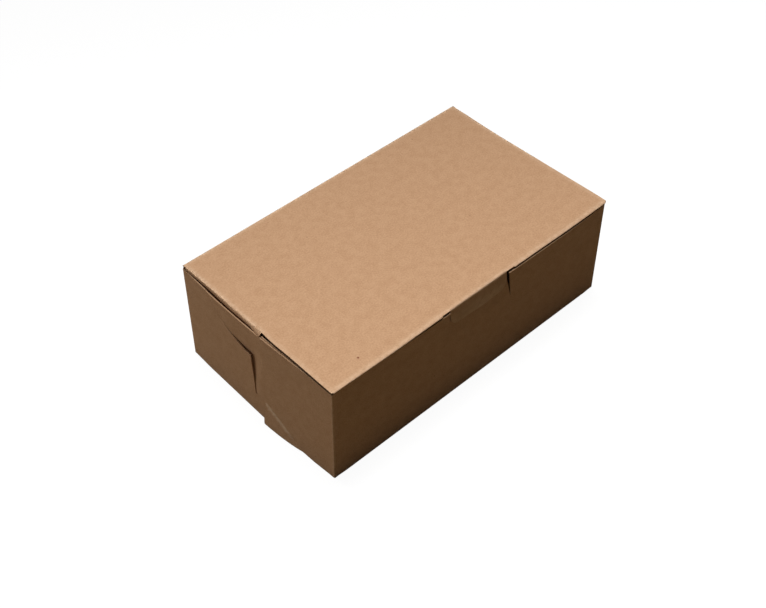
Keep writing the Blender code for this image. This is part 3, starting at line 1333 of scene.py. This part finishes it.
        def stand(run: float, height: float) -> float:
            """Return how far the outer face stands out from the corners' plane.

            Args:
                run: The place along the band.
                height: The place up the band.

            Returns:
                The distance.
            """
            _, _, inset = band.plan(run)
            drop = HEIGHT - height
            from_corner = band.flat - abs(run)
            if from_corner < 0.0:
                return shape.rear_stand(inset, drop) - shape.lean(drop)
            calm = calmed(self.calm_run, height, BACK_RIM - height, from_corner)
            return -ripple(run, height + LENGTH, self.ripple_size, self.wall_ripple) * calm

        def folder(run: float, height: float, depth: float) -> Vector:
            """Fold the band round the corners and bow its flaps."""
            return band.folded(run, height, depth, stand(run, height))

        def wear(run: float, height: float) -> float:
            """Return the wear along the folds, the lid's crease among them."""
            top = near(height - BACK_RIM - self.back_wear_rise, self.back_wear_width)
            return max(band.wear_at(run, height), top if abs(run) < band.flat else 0.0)

        blank.fold(folder, lambda run, height: (run, HALF_DEPTH + height), wear)
        return blank.finish("back_wall_and_lock_flaps", finishes)


@dataclass
class Crease:
    """A narrow strip of board, bent along the crease between two panels.

    The profile is the curve of its outer face on a section, a Bezier curve given by the outward and
    upward coordinates of its control points. The strip is most worn at one distance over it.
    """

    profile: Sequence[Point]
    steps: int = 12
    spacing: float = 8.0 * MM
    worn_at: float = 0.6 * MM
    wear_width: float = 1.1 * MM

    def at(self, share: float) -> tuple[Vector, Vector]:
        """Return the point on the outer face and its normal, on the section.

        Args:
            share: How far along the profile, from 0 to 1.

        Returns:
            The point and the outward normal.
        """
        points = [Vector(point) for point in self.profile]
        while len(points) > 2:
            points = [a.lerp(b, share) for a, b in zip(points, points[1:])]
        slope = (points[1] - points[0]).normalized()
        return points[0].lerp(points[1], share), Vector((-slope.y, slope.x))

    @property
    def length(self) -> float:
        """Return the length of the profile."""
        points = [self.at(index / self.steps)[0] for index in range(self.steps + 1)]
        return sum((b - a).length for a, b in zip(points, points[1:]))

    def build(
        self, name: str, span: Point, locate: Folder, sheet: Layout, finishes: Finishes
    ) -> bpy.types.Object:
        """Build one strip.

        Args:
            name: The piece's name.
            span: Where the strip begins and ends along the crease.
            locate: Turns a place along the crease, an outward and an upward coordinate into a
                position.
            sheet: Turns a place along the crease and a distance over it into a place on the sheet.
            finishes: The materials of the outer face, the cut edges and the inner face.

        Returns:
            The strip.
        """
        length = self.length
        low, high = span
        blank = Blank([(low, 0.0), (high, 0.0), (high, length), (low, length)])
        blank.score(Axis.ALONG, [length * index / self.steps for index in range(1, self.steps)])
        blank.score(Axis.ACROSS, spaced(low, high, self.spacing))
        blank.thicken()

        def folder(place: float, over: float, depth: float) -> Vector:
            """Bend the strip along its profile.

            Args:
                place: The place along the crease.
                over: The distance over it, along the profile.
                depth: How deep it lies under the outer face.

            Returns:
                The position.
            """
            point, normal = self.at(over / length)
            inner = point - normal * depth
            return locate(place, inner.x, inner.y)

        blank.fold(folder, sheet, lambda _, over: near(over - self.worn_at, self.wear_width))
        return blank.finish(name, finishes)


@dataclass
class Lid:
    """The lid with its side flaps, tuck flaps and lock tongue, and the creases between them.

    A place on a flap is a place along its crease and a hang, which is measured down from flap_top. A
    seam is the line at which a panel ends and the strip that bends beside it begins.
    """

    half_length: float = 79.15 * MM
    front: float = -46.75 * MM
    back_seam: float = 46.2 * MM
    side_seam: float = 78.1 * MM
    front_seam: float = -45.75 * MM
    back_inset: float = 0.2 * MM
    ear_inset: float = 0.1 * MM
    corner_rounding: float = 0.35 * MM
    edge_scores: tuple[float, ...] = (0.4 * MM, 1.0 * MM, 2.0 * MM)
    spacing: float = 4.0 * MM
    calm_run: float = 9.0 * MM
    bow_run: float = 12.0 * MM
    side_wear_past: float = 0.4 * MM
    front_wear_past: float = 0.3 * MM
    back_wear_past: float = 0.6 * MM
    wear_width: float = 0.9 * MM
    back_wear_width: float = 1.1 * MM
    back_crest: tuple[Point, ...] = ((47.05 * MM, HEIGHT), (HALF_DEPTH, 53.1 * MM))
    side_back: float = 45.25 * MM
    side_front: float = -4.75 * MM
    side_edge: float = 79.3 * MM
    side_lip: float = 79.35 * MM
    side_lip_up: float = 50.95 * MM
    side_face: float = 78.4 * MM
    side_steps: int = 28
    side_worn_at: float = 0.5 * MM
    side_hang: float = 18.0 * MM
    side_taper: float = 4.0 * MM
    side_slant: tuple[Point, ...] = (
        (-5.0 * MM, 0.45),
        (-1.0 * MM, 0.34),
        (4.0 * MM, 0.25),
        (19.0 * MM, 0.24),
        (25.0 * MM, 0.1),
        (32.0 * MM, 0.0),
        (47.0 * MM, 0.0),
    )
    side_slant_run: float = 0.6 * MM
    side_burr: float = 0.75 * MM
    side_burr_width: float = 1.0 * MM
    side_burr_run: float = 1.5 * MM
    left_bow: tuple[Point, ...] = (
        (-48.0 * MM, 0.5 * MM),
        (-37.0 * MM, 0.43 * MM),
        (-23.0 * MM, 0.33 * MM),
        (-14.0 * MM, 0.45 * MM),
        (-9.0 * MM, 0.4 * MM),
        (-4.0 * MM, 0.08 * MM),
        (4.0 * MM, 0.15 * MM),
        (19.0 * MM, 0.03 * MM),
        (39.0 * MM, 0.0),
        (48.0 * MM, 0.25 * MM),
    )
    front_bow: tuple[Point, ...] = (
        (-80.0 * MM, 0.35 * MM),
        (-66.0 * MM, 0.5 * MM),
        (-45.0 * MM, 0.65 * MM),
        (-25.0 * MM, 0.5 * MM),
        (0.0, 0.5 * MM),
        (37.0 * MM, 0.6 * MM),
        (56.0 * MM, 0.75 * MM),
        (80.0 * MM, 0.4 * MM),
    )
    right_bow: tuple[Point, ...] = (
        (-47.0 * MM, 1.1 * MM),
        (-42.0 * MM, 1.2 * MM),
        (-31.0 * MM, 1.0 * MM),
        (-20.0 * MM, 0.75 * MM),
        (-8.0 * MM, 0.53 * MM),
        (4.0 * MM, 0.45 * MM),
        (16.0 * MM, 0.2 * MM),
        (28.0 * MM, 0.3 * MM),
        (40.0 * MM, 0.6 * MM),
        (47.0 * MM, 0.5 * MM),
    )
    flap_top: float = 52.5 * MM
    flap_rounding: float = 2.0 * MM
    flap_scores: tuple[float, ...] = (0.5 * MM, 1.2 * MM)
    flap_calm_run: float = 5.0 * MM
    flap_ripple: float = 0.12 * MM
    flap_ripple_size: float = 26.0 * MM
    flap_wear_width: float = 1.3 * MM
    tuck_root: float = 20.9 * MM
    tuck_corner: float = 77.2 * MM
    tuck_corner_out: float = 0.4 * MM
    tuck_crease_end: float = 78.5 * MM
    tuck_crest: tuple[Point, ...] = (
        (46.6 * MM, HEIGHT),
        (47.3 * MM, HEIGHT),
        (47.5 * MM, 52.9 * MM),
        (47.4 * MM, 52.0 * MM),
        (46.0 * MM, 52.2 * MM),
    )
    tuck_steps: int = 20
    tuck_worn_at: float = 0.8 * MM
    tuck_hang: float = 14.9 * MM
    tuck_axis: float = -45.95 * MM
    tuck_lean: float = math.radians(5.5)
    tuck_chamfer: float = 3.5 * MM
    tuck_bow: float = 0.15
    over_wall: float = 51.6 * MM
    over_wall_run: float = 1.4 * MM
    over_rim: float = 52.1 * MM
    tongue_half: float = 16.5 * MM
    tongue_hang: float = 8.3 * MM
    tongue_lean: float = math.radians(6.5)
    tongue_crest: tuple[Point, ...] = ((46.4 * MM, HEIGHT), (46.72 * MM, 53.1 * MM))
    tongue_rounding: float = 4.8 * MM
    tongue_rounding_steps: int = 8
    tongue_spacing: float = 1.4 * MM
    tongue_hang_spacing: float = 1.1 * MM
    tongue_bulge: float = 0.35 * MM
    tongue_bulge_at: float = 1.5 * MM
    tongue_bulge_width: float = 5.0 * MM
    tongue_low_bow: float = 0.6
    # Painted light: the tongue is paled below its crease, where its lean would catch more light from
    # above.
    tongue_painted_light: float = 1.0
    side_seam_hang: float = 2.7 * MM
    seam_hang: float = 1.6 * MM
    tongue_seam_hang: float = 1.2 * MM
    sag: float = 0.12 * MM
    sag_size: float = 42.0 * MM

    def edge_share(self, past: float) -> float:
        """Return the share of an edge's bow that a place past the edge's seam takes part in."""
        return ease(past / self.bow_run + 1.0)

    def bowed(self, x: float) -> float:
        """Return how far the lid's front edge bows out."""
        return through(self.front_bow, x)

    def sideways(self, x: float, y: float) -> float:
        """Return how far a place of the lid lies along X from its straight place.

        Args:
            x: The place along the box.
            y: The place across it.

        Returns:
            The shift that the bow of the nearer side edge gives it.
        """
        right = through(self.right_bow, y) * self.edge_share(x - self.side_seam)
        left = through(self.left_bow, y) * self.edge_share(-x - self.side_seam)
        return right - left

    def sheet_along(self, y: float) -> float:
        """Return the place of a line of the lid on the whole sheet."""
        return HALF_DEPTH + HEIGHT + HALF_DEPTH - y

    def sheet_over_front(self, x: float, over: float) -> Point:
        """Return the place on the whole sheet of a point on a crease at the front."""
        return x, self.sheet_along(self.front_seam - over)

    def wear_of_flap(self, _: float, hang: float) -> float:
        """Return the wear of a flap along its crease."""
        return near(hang, self.flap_wear_width)

    def cut_flap(self, outline: Sequence[Point], span: Point, hang: Point) -> Blank:
        """Cut a side flap or one half of the tuck flap.

        Args:
            outline: Its corners, of which the two at the crease come first and stay sharp.
            span: Where it begins and ends along the crease.
            hang: Where it begins and ends below flap_top.

        Returns:
            The cut, scored and with its thickness.
        """
        blank = Blank(outline)
        blank.round_corners(outline[2:], self.flap_rounding)
        blank.score(Axis.ALONG, [hang[0] + distance for distance in self.flap_scores])
        blank.score(Axis.ALONG, spaced(*hang, self.spacing))
        blank.score(Axis.ACROSS, spaced(*span, self.spacing))
        blank.thicken()
        return blank

    def build(self, finishes: Finishes) -> None:
        """Build the lid's pieces and put the panel, the flaps and the tongue on their bodies; the
        crease strips are left without a body.

        Args:
            finishes: The materials of the outer face, the cut edges and the inner face.
        """
        panel = self.build_panel(finishes)
        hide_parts("lid_panel")
        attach(panel, "lid")
        self.build_back_crease(finishes)
        for end in End:
            self.build_side(end, finishes)
            self.build_tuck(end, finishes)
        self.build_tongue(finishes)

    def build_panel(self, finishes: Finishes) -> bpy.types.Object:
        """Build the lid's flat top, up to the creases round it.

        Args:
            finishes: The materials of the outer face, the cut edges and the inner face.

        Returns:
            The piece.
        """
        ear = self.half_length - self.ear_inset
        back = HALF_DEPTH - self.back_inset
        half = [
            (ear, self.back_seam),
            (ear, back),
            (self.half_length, back),
            (self.half_length, self.side_back),
            (self.side_seam, self.side_back),
            (self.side_seam, self.side_front),
            (self.half_length, self.side_front),
            (self.half_length, self.front),
            (self.tuck_crease_end, self.front),
            (self.tuck_crease_end, self.front_seam),
            (self.tuck_root, self.front_seam),
            (self.tuck_root, self.front),
            (self.tongue_half, self.front),
            (self.tongue_half, self.front_seam),
        ]
        blank = Blank(mirrored(half)[::-1])
        blank.round_corners(both_ends([(self.half_length, self.front)]), self.corner_rounding)
        for side in SIDES:
            edges = [side * (self.side_seam - distance) for distance in self.edge_scores]
            blank.score(Axis.ACROSS, edges)
        blank.score(Axis.ALONG, [self.front_seam + distance for distance in self.edge_scores])
        blank.score(Axis.ALONG, [self.back_seam - distance for distance in self.edge_scores])
        blank.score(Axis.ACROSS, spaced(-self.side_seam, self.side_seam, self.spacing))
        blank.score(Axis.ALONG, spaced(self.front_seam, self.back_seam, self.spacing))
        blank.thicken()

        def folder(x: float, y: float, depth: float) -> Vector:
            """Lay the lid flat, with its edges' bows, a little uneven away from its creases.

            Args:
                x: The place along the box.
                y: The place across it.
                depth: How deep it lies under the outer face.

            Returns:
                The position.
            """
            inside = (self.side_seam - abs(x), y - self.front_seam, self.back_seam - y)
            calm = calmed(self.calm_run, *inside)
            uneven = ripple(x, y + DEPTH, self.sag_size, self.sag) * calm
            forward = self.bowed(x) * self.edge_share(self.front_seam - y)
            return Vector((x + self.sideways(x, y), y - forward, HEIGHT - uneven - depth))

        def wear(x: float, y: float) -> float:
            """Return the wear along the lid's creases.

            Args:
                x: The place along the box.
                y: The place across it.

            Returns:
                The wear, from 0 to 1.
            """
            side = near(self.side_seam + self.side_wear_past - abs(x), self.wear_width)
            front = near(y - self.front_seam + self.front_wear_past, self.wear_width)
            back = near(self.back_seam + self.back_wear_past - y, self.back_wear_width)
            return max(side, front, back)

        blank.fold(folder, lambda x, y: (x, self.sheet_along(y)), wear)
        return blank.finish("lid_top", finishes)

    def build_back_crease(self, finishes: Finishes) -> None:
        """Build the strip that bends between the back wall and the lid.

        Args:
            finishes: The materials of the outer face, the cut edges and the inner face.
        """
        crease = Crease(((self.back_seam, HEIGHT), *self.back_crest, (HALF_DEPTH, BACK_RIM)))
        half = self.half_length - self.ear_inset

        def locate(x: float, out: float, up: float) -> Vector:
            """Return a point of the section at x."""
            return Vector((x, out, up))

        def sheet(x: float, over: float) -> Point:
            """Return the strip's place on the sheet."""
            return x, self.sheet_along(self.back_seam + over)

        piece = crease.build("back_crease", (-half, half), locate, sheet, finishes)
        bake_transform(piece)

    def build_side(self, end: End, finishes: Finishes) -> None:
        """Build one side flap and its crease.

        The crease's profile names two of its points more than once, which pulls the curve close to
        them.

        Args:
            end: The end that the flap is tucked into.
            finishes: The materials of the outer face, the cut edges and the inner face.
        """
        side = end.value
        body = end.label + "_side_flap"
        bow = self.right_bow if end is End.RIGHT else self.left_bow
        top, low = self.side_seam_hang, self.side_hang
        seam = self.flap_top - top
        profile = (
            (self.side_seam, HEIGHT),
            *[(self.side_edge, HEIGHT)] * 3,
            *[(self.side_lip, self.side_lip_up)] * 2,
            (self.side_face, self.side_lip_up),
            (self.side_face, seam),
        )
        crease = Crease(profile, steps=self.side_steps, worn_at=self.side_worn_at)

        def locate(y: float, out: float, up: float) -> Vector:
            """Return a point of the section at y, which springs out towards the flap's free end.

            Args:
                y: The place along the crease.
                out: The outward coordinate on the section.
                up: The upward coordinate on the section.

            Returns:
                The position.
            """
            fall = ease((out - self.side_face) / self.side_slant_run) * (HEIGHT - up)
            burr = self.side_burr * near(y - self.side_front, self.side_burr_width)
            out += through(self.side_slant, y) * fall + burr * ease(fall / self.side_burr_run)
            out += through(bow, y) * ease((up - seam) / (HEIGHT - seam))
            return Vector((side * out, y, up))

        def sheet(y: float, over: float) -> Point:
            """Return the strip's place on the sheet."""
            return side * (self.side_seam + over), self.sheet_along(y)

        span = (self.side_front, self.side_back)
        strip = crease.build(end.label + "_side_crease", span, locate, sheet, finishes)
        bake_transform(strip)

        outline = [
            (self.side_front, top),
            (self.side_back, top),
            (self.side_back - self.side_taper, low),
            (self.side_front + self.side_taper, low),
        ]
        blank = self.cut_flap(outline, span, (top, low))

        def folder(y: float, hang: float, depth: float) -> Vector:
            """Hang the flap inside the end, a little uneven.

            Args:
                y: The place along the crease.
                hang: The place below flap_top.
                depth: How deep it lies under the outer face.

            Returns:
                The position.
            """
            calm = ease((hang - top) / self.flap_calm_run)
            uneven = ripple(y, hang + side * LENGTH, self.flap_ripple_size, self.flap_ripple) * calm
            return Vector((side * (self.side_face - uneven - depth), y, self.flap_top - hang))

        def layout(y: float, hang: float) -> Point:
            """Return the flap's place on the sheet."""
            return side * (self.side_seam + crease.length + hang - top), self.sheet_along(y)

        blank.fold(folder, layout, self.wear_of_flap)
        flap = blank.finish(end.label + "_side_flap_board", finishes)
        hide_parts("lid_" + body)
        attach(flap, body)

    def build_tuck(self, end: End, finishes: Finishes) -> None:
        """Build one half of the front tuck flap and its crease.

        Args:
            end: The end that the half lies towards.
            finishes: The materials of the outer face, the cut edges and the inner face.
        """
        side = end.value
        body = end.label + "_tuck_flap"
        sine, cosine = math.sin(self.tuck_lean), math.cos(self.tuck_lean)
        face_y = self.tuck_axis - BOARD * cosine
        face_z = self.flap_top - BOARD * sine
        top, low = self.seam_hang, self.tuck_hang
        seam = (-(face_y + sine * top), face_z - cosine * top)
        profile = ((-self.front_seam, HEIGHT), *self.tuck_crest, seam)
        crease = Crease(profile, steps=self.tuck_steps, worn_at=self.tuck_worn_at)

        def locate(x: float, out: float, up: float) -> Vector:
            """Return a point of the section at x, which follows the lid's edges at its top.

            Args:
                x: The place along the crease.
                out: The outward coordinate on the section.
                up: The upward coordinate on the section.

            Returns:
                The position.
            """
            followed = ease((up - self.over_wall) / self.over_wall_run)
            bow = self.bowed(x) * mix(self.tuck_bow, 1.0, followed)
            over = ease((up - self.over_rim) / (HEIGHT - self.over_rim))
            shift = self.sideways(x, self.front) * over
            return Vector((x + shift, -out - bow, up))

        ends = sorted((side * self.tuck_root, side * self.tuck_crease_end))
        name = end.label + "_tuck_crease"
        strip = crease.build(name, tuple(ends), locate, self.sheet_over_front, finishes)
        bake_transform(strip)

        root, corner, cut = self.tuck_root, self.tuck_corner, self.tuck_chamfer
        outline = [
            (root, top),
            (corner - top + self.tuck_corner_out, top),
            (corner - low + self.tuck_corner_out, low),
            (root + cut, low),
            (root, low - cut),
        ]
        blank = self.cut_flap(outline, (root, corner), (top, low))

        def folder(out: float, hang: float, depth: float) -> Vector:
            """Hang the flap behind the front wall, leaning in and a little uneven.

            Args:
                out: The place along the crease, from the middle of the box.
                hang: The place below flap_top.
                depth: How deep it lies under the outer face.

            Returns:
                The position.
            """
            calm = ease((hang - top) / self.flap_calm_run)
            along = hang - side * DEPTH
            uneven = depth + ripple(out, along, self.flap_ripple_size, self.flap_ripple) * calm
            y = face_y + sine * hang + cosine * uneven
            y -= self.tuck_bow * self.bowed(side * out) * (1.0 - calm)
            return Vector((side * out, y, face_z - cosine * hang + sine * uneven))

        def layout(out: float, hang: float) -> Point:
            """Return the flap's place on the sheet."""
            return side * out, self.sheet_along(self.front_seam - crease.length - hang + top)

        blank.fold(folder, layout, self.wear_of_flap)
        flap = blank.finish(end.label + "_tuck_flap_board", finishes)
        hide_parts("lid_" + body)
        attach(flap, body)

    def build_tongue(self, finishes: Finishes) -> None:
        """Build the lock tongue, which bulges a little in front of the front wall, and its crease.

        Args:
            finishes: The materials of the outer face, the cut edges and the inner face.
        """
        sine, cosine = math.sin(self.tongue_lean), math.cos(self.tongue_lean)
        top, low, half = self.tongue_seam_hang, self.tongue_hang, self.tongue_half
        seam = (-(self.front - sine * top), self.flap_top - cosine * top)
        before = (-self.front, self.flap_top)
        crease = Crease(((-self.front_seam, HEIGHT), *self.tongue_crest, before, seam))

        def locate(x: float, out: float, up: float) -> Vector:
            """Return a point of the section at x."""
            return Vector((x, -out - self.bowed(x), up))

        span = (-half, half)
        strip = crease.build("tongue_crease", span, locate, self.sheet_over_front, finishes)
        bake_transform(strip)

        outline = [(-half, top), (half, top), (half, low), (-half, low)]
        blank = Blank(outline)
        blank.round_corners(outline[2:], self.tongue_rounding, self.tongue_rounding_steps)
        blank.score(Axis.ALONG, [top + self.flap_scores[0]])
        blank.score(Axis.ALONG, spaced(top, low, self.tongue_hang_spacing))
        blank.score(Axis.ACROSS, spaced(-half, half, self.tongue_spacing))
        blank.thicken()

        def folder(x: float, hang: float, depth: float) -> Vector:
            """Hang the tongue in front of the wall, with the bulge that folding left in it.

            Args:
                x: The place along the crease.
                hang: The place below flap_top.
                depth: How deep it lies under the outer face.

            Returns:
                The position.
            """
            share = (hang - top) / (low - top)
            bulge = self.tongue_bulge * near(x - self.tongue_bulge_at, self.tongue_bulge_width)
            bow = self.bowed(x) * mix(1.0, self.tongue_low_bow, share)
            inward = depth - bulge * share**2 - bow
            y = self.front - sine * hang + cosine * inward
            return Vector((x, y, self.flap_top - cosine * hang - sine * inward))

        def layout(x: float, hang: float) -> Point:
            """Return the tongue's place on the sheet."""
            return x, self.sheet_along(self.front_seam - crease.length - hang + top)

        def wear(_: float, hang: float) -> float:
            """Return the wear along the crease, and below it a paler band that is painted light,
            where the leaning tongue would catch more light from above.
            """
            return max(near(hang, self.flap_wear_width), self.tongue_painted_light * ease(hang / low))

        blank.fold(folder, layout, wear)
        tongue = blank.finish("lock_tongue_board", finishes)
        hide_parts("lid_lock_tongue")
        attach(tongue, "lock_tongue")


@dataclass
class Studio:
    """The floor, the light and the camera."""

    eye: Place = (-262.331 * MM, -273.241 * MM, 404.918 * MM)
    azimuth: float = math.radians(-42.7698)
    elevation: float = math.radians(46.2486)
    roll: float = math.radians(-0.2127)
    lens: float = 56.8571
    sensor: float = 36.0
    clip_near: float = 0.01
    clip_far: float = 20.0
    floor_size: float = 6.0
    floor_drop: float = 0.05 * MM
    floor_glow: float = 0.95
    floor_shade: float = 0.12
    bounce: Colour = (0.213, 0.165, 0.09)
    ambient: Colour = (0.035, 0.03, 0.025)
    key_place: Place = (0.05, 0.10, 0.90)
    key_aim: Place = (-1.35, -2.30, 0.0)
    key_size: float = 0.5
    key_power: float = 14.6
    left_place: Place = (-0.55, 0.28, 0.13)
    left_size: float = 0.3
    left_power: float = 0.57
    right_place: Place = (1.1, 0.5, 0.5)
    right_size: float = 0.8
    right_power: float = 1.5

    def build(self) -> None:
        """Build the floor, the world, the lights and the camera, and set the view transform."""
        self.build_floor()
        self.build_world()
        box = (0.0, 0.0, HEIGHT / 2)
        self.build_light("key_light", self.key_place, self.key_aim, self.key_size, self.key_power)
        self.build_light("left_light", self.left_place, box, self.left_size, self.left_power)
        self.build_light("right_light", self.right_place, box, self.right_size, self.right_power)
        self.build_camera()
        bpy.context.scene.view_settings.view_transform = "Standard"

    def seen(self, wiring: Wiring) -> bpy.types.NodeSocket:
        """Return a mask of the rays that show a thing to the camera, in mirrors or through glass.

        Args:
            wiring: The tree that the mask is for.

        Returns:
            The mask.
        """
        path = wiring.add("ShaderNodeLightPath").outputs
        first = wiring.maths("MAXIMUM", path["Is Camera Ray"], path["Is Glossy Ray"])
        return wiring.maths("MAXIMUM", first, path["Is Transmission Ray"])

    def build_floor(self) -> None:
        """Build the pale floor, which glows enough to look white and still takes the shadow."""
        mesh = bmesh.new()
        bmesh.ops.create_grid(mesh, x_segments=1, y_segments=1, size=self.floor_size / 2)
        data = bpy.data.meshes.new("studio_floor")
        mesh.to_mesh(data)
        mesh.free()
        floor = bpy.data.objects.new("studio_floor", data)
        bpy.context.scene.collection.objects.link(floor)
        floor.location.z = -self.floor_drop
        material = bpy.data.materials.new("studio_floor")
        material.use_nodes = True
        tree = material.node_tree
        tree.nodes.remove(tree.nodes["Principled BSDF"])
        wiring = Wiring(tree)
        bounce = wiring.add("ShaderNodeBsdfDiffuse", Color=(*self.bounce, 1.0))
        shade = (self.floor_shade,) * 3
        pale = wiring.add("ShaderNodeBsdfDiffuse", Color=(*shade, 1.0))
        glow = wiring.add("ShaderNodeEmission", Strength=self.floor_glow)
        shown = wiring.add("ShaderNodeAddShader", at0=pale.outputs[0], at1=glow.outputs[0])
        both = wiring.add(
            "ShaderNodeMixShader", at0=self.seen(wiring), at1=bounce.outputs[0], at2=shown.outputs[0]
        )
        tree.links.new(both.outputs[0], tree.nodes["Material Output"].inputs["Surface"])
        data.materials.append(material)

    def build_world(self) -> None:
        """Build the world, white where it is seen and a weak ambient light elsewhere."""
        world = bpy.data.worlds.new("studio")
        world.use_nodes = True
        tree = world.node_tree
        wiring = Wiring(tree)
        background = tree.nodes["Background"]
        seen = self.seen(wiring)
        colour = wiring.blend(seen, (*self.ambient, 1.0), (1.0, 1.0, 1.0, 1.0))
        tree.links.new(colour, background.inputs["Color"])
        bpy.context.scene.world = world

    def build_light(self, name: str, place: Place, aim: Place, size: float, power: float) -> None:
        """Build one soft square light.

        Args:
            name: The light's name.
            place: Where it hangs.
            aim: The point that it faces.
            size: The length of its side.
            power: Its power in watts.
        """
        data = bpy.data.lights.new(name, "AREA")
        data.size = size
        data.energy = power
        light = bpy.data.objects.new(name, data)
        light.location = place
        light.rotation_mode = "QUATERNION"
        light.rotation_quaternion = (Vector(aim) - Vector(place)).to_track_quat("-Z", "Y")
        bpy.context.scene.collection.objects.link(light)

    def build_camera(self) -> None:
        """Build the camera at the place from which the box's corners fall where they should."""
        a, e, r = self.azimuth, self.elevation, self.roll
        back = Vector((math.sin(a) * math.cos(e), -math.cos(a) * math.cos(e), math.sin(e)))
        right = Vector((math.cos(a), math.sin(a), 0.0))
        up = back.cross(right)
        rolled_right = right * math.cos(r) + up * math.sin(r)
        rolled_up = up * math.cos(r) - right * math.sin(r)
        data = bpy.data.cameras.new("camera")
        data.sensor_fit = "HORIZONTAL"
        data.sensor_width = self.sensor
        data.lens = self.lens
        data.clip_start = self.clip_near
        data.clip_end = self.clip_far
        camera = bpy.data.objects.new("camera", data)
        turn = Matrix((rolled_right, rolled_up, back)).transposed().to_4x4()
        camera.matrix_world = Matrix.Translation(self.eye) @ turn
        bpy.context.scene.collection.objects.link(camera)
        bpy.context.scene.camera = camera


def main() -> None:
    """Build the box, dress it and light it."""
    logging.basicConfig(level=logging.INFO, format="%(name)s: %(message)s")
    fibres = KraftFibres().build()
    wear = CreaseWear().build()
    finishes = [finish.build(fibres, wear) for finish in (OUTER_FACE, SHADED_CUT_EDGE, INNER_FACE)]
    Tray().build(finishes)
    Lid().build(finishes)
    Studio().build()
    bpy.context.view_layer.update()


if __name__ == "__main__":
    main()
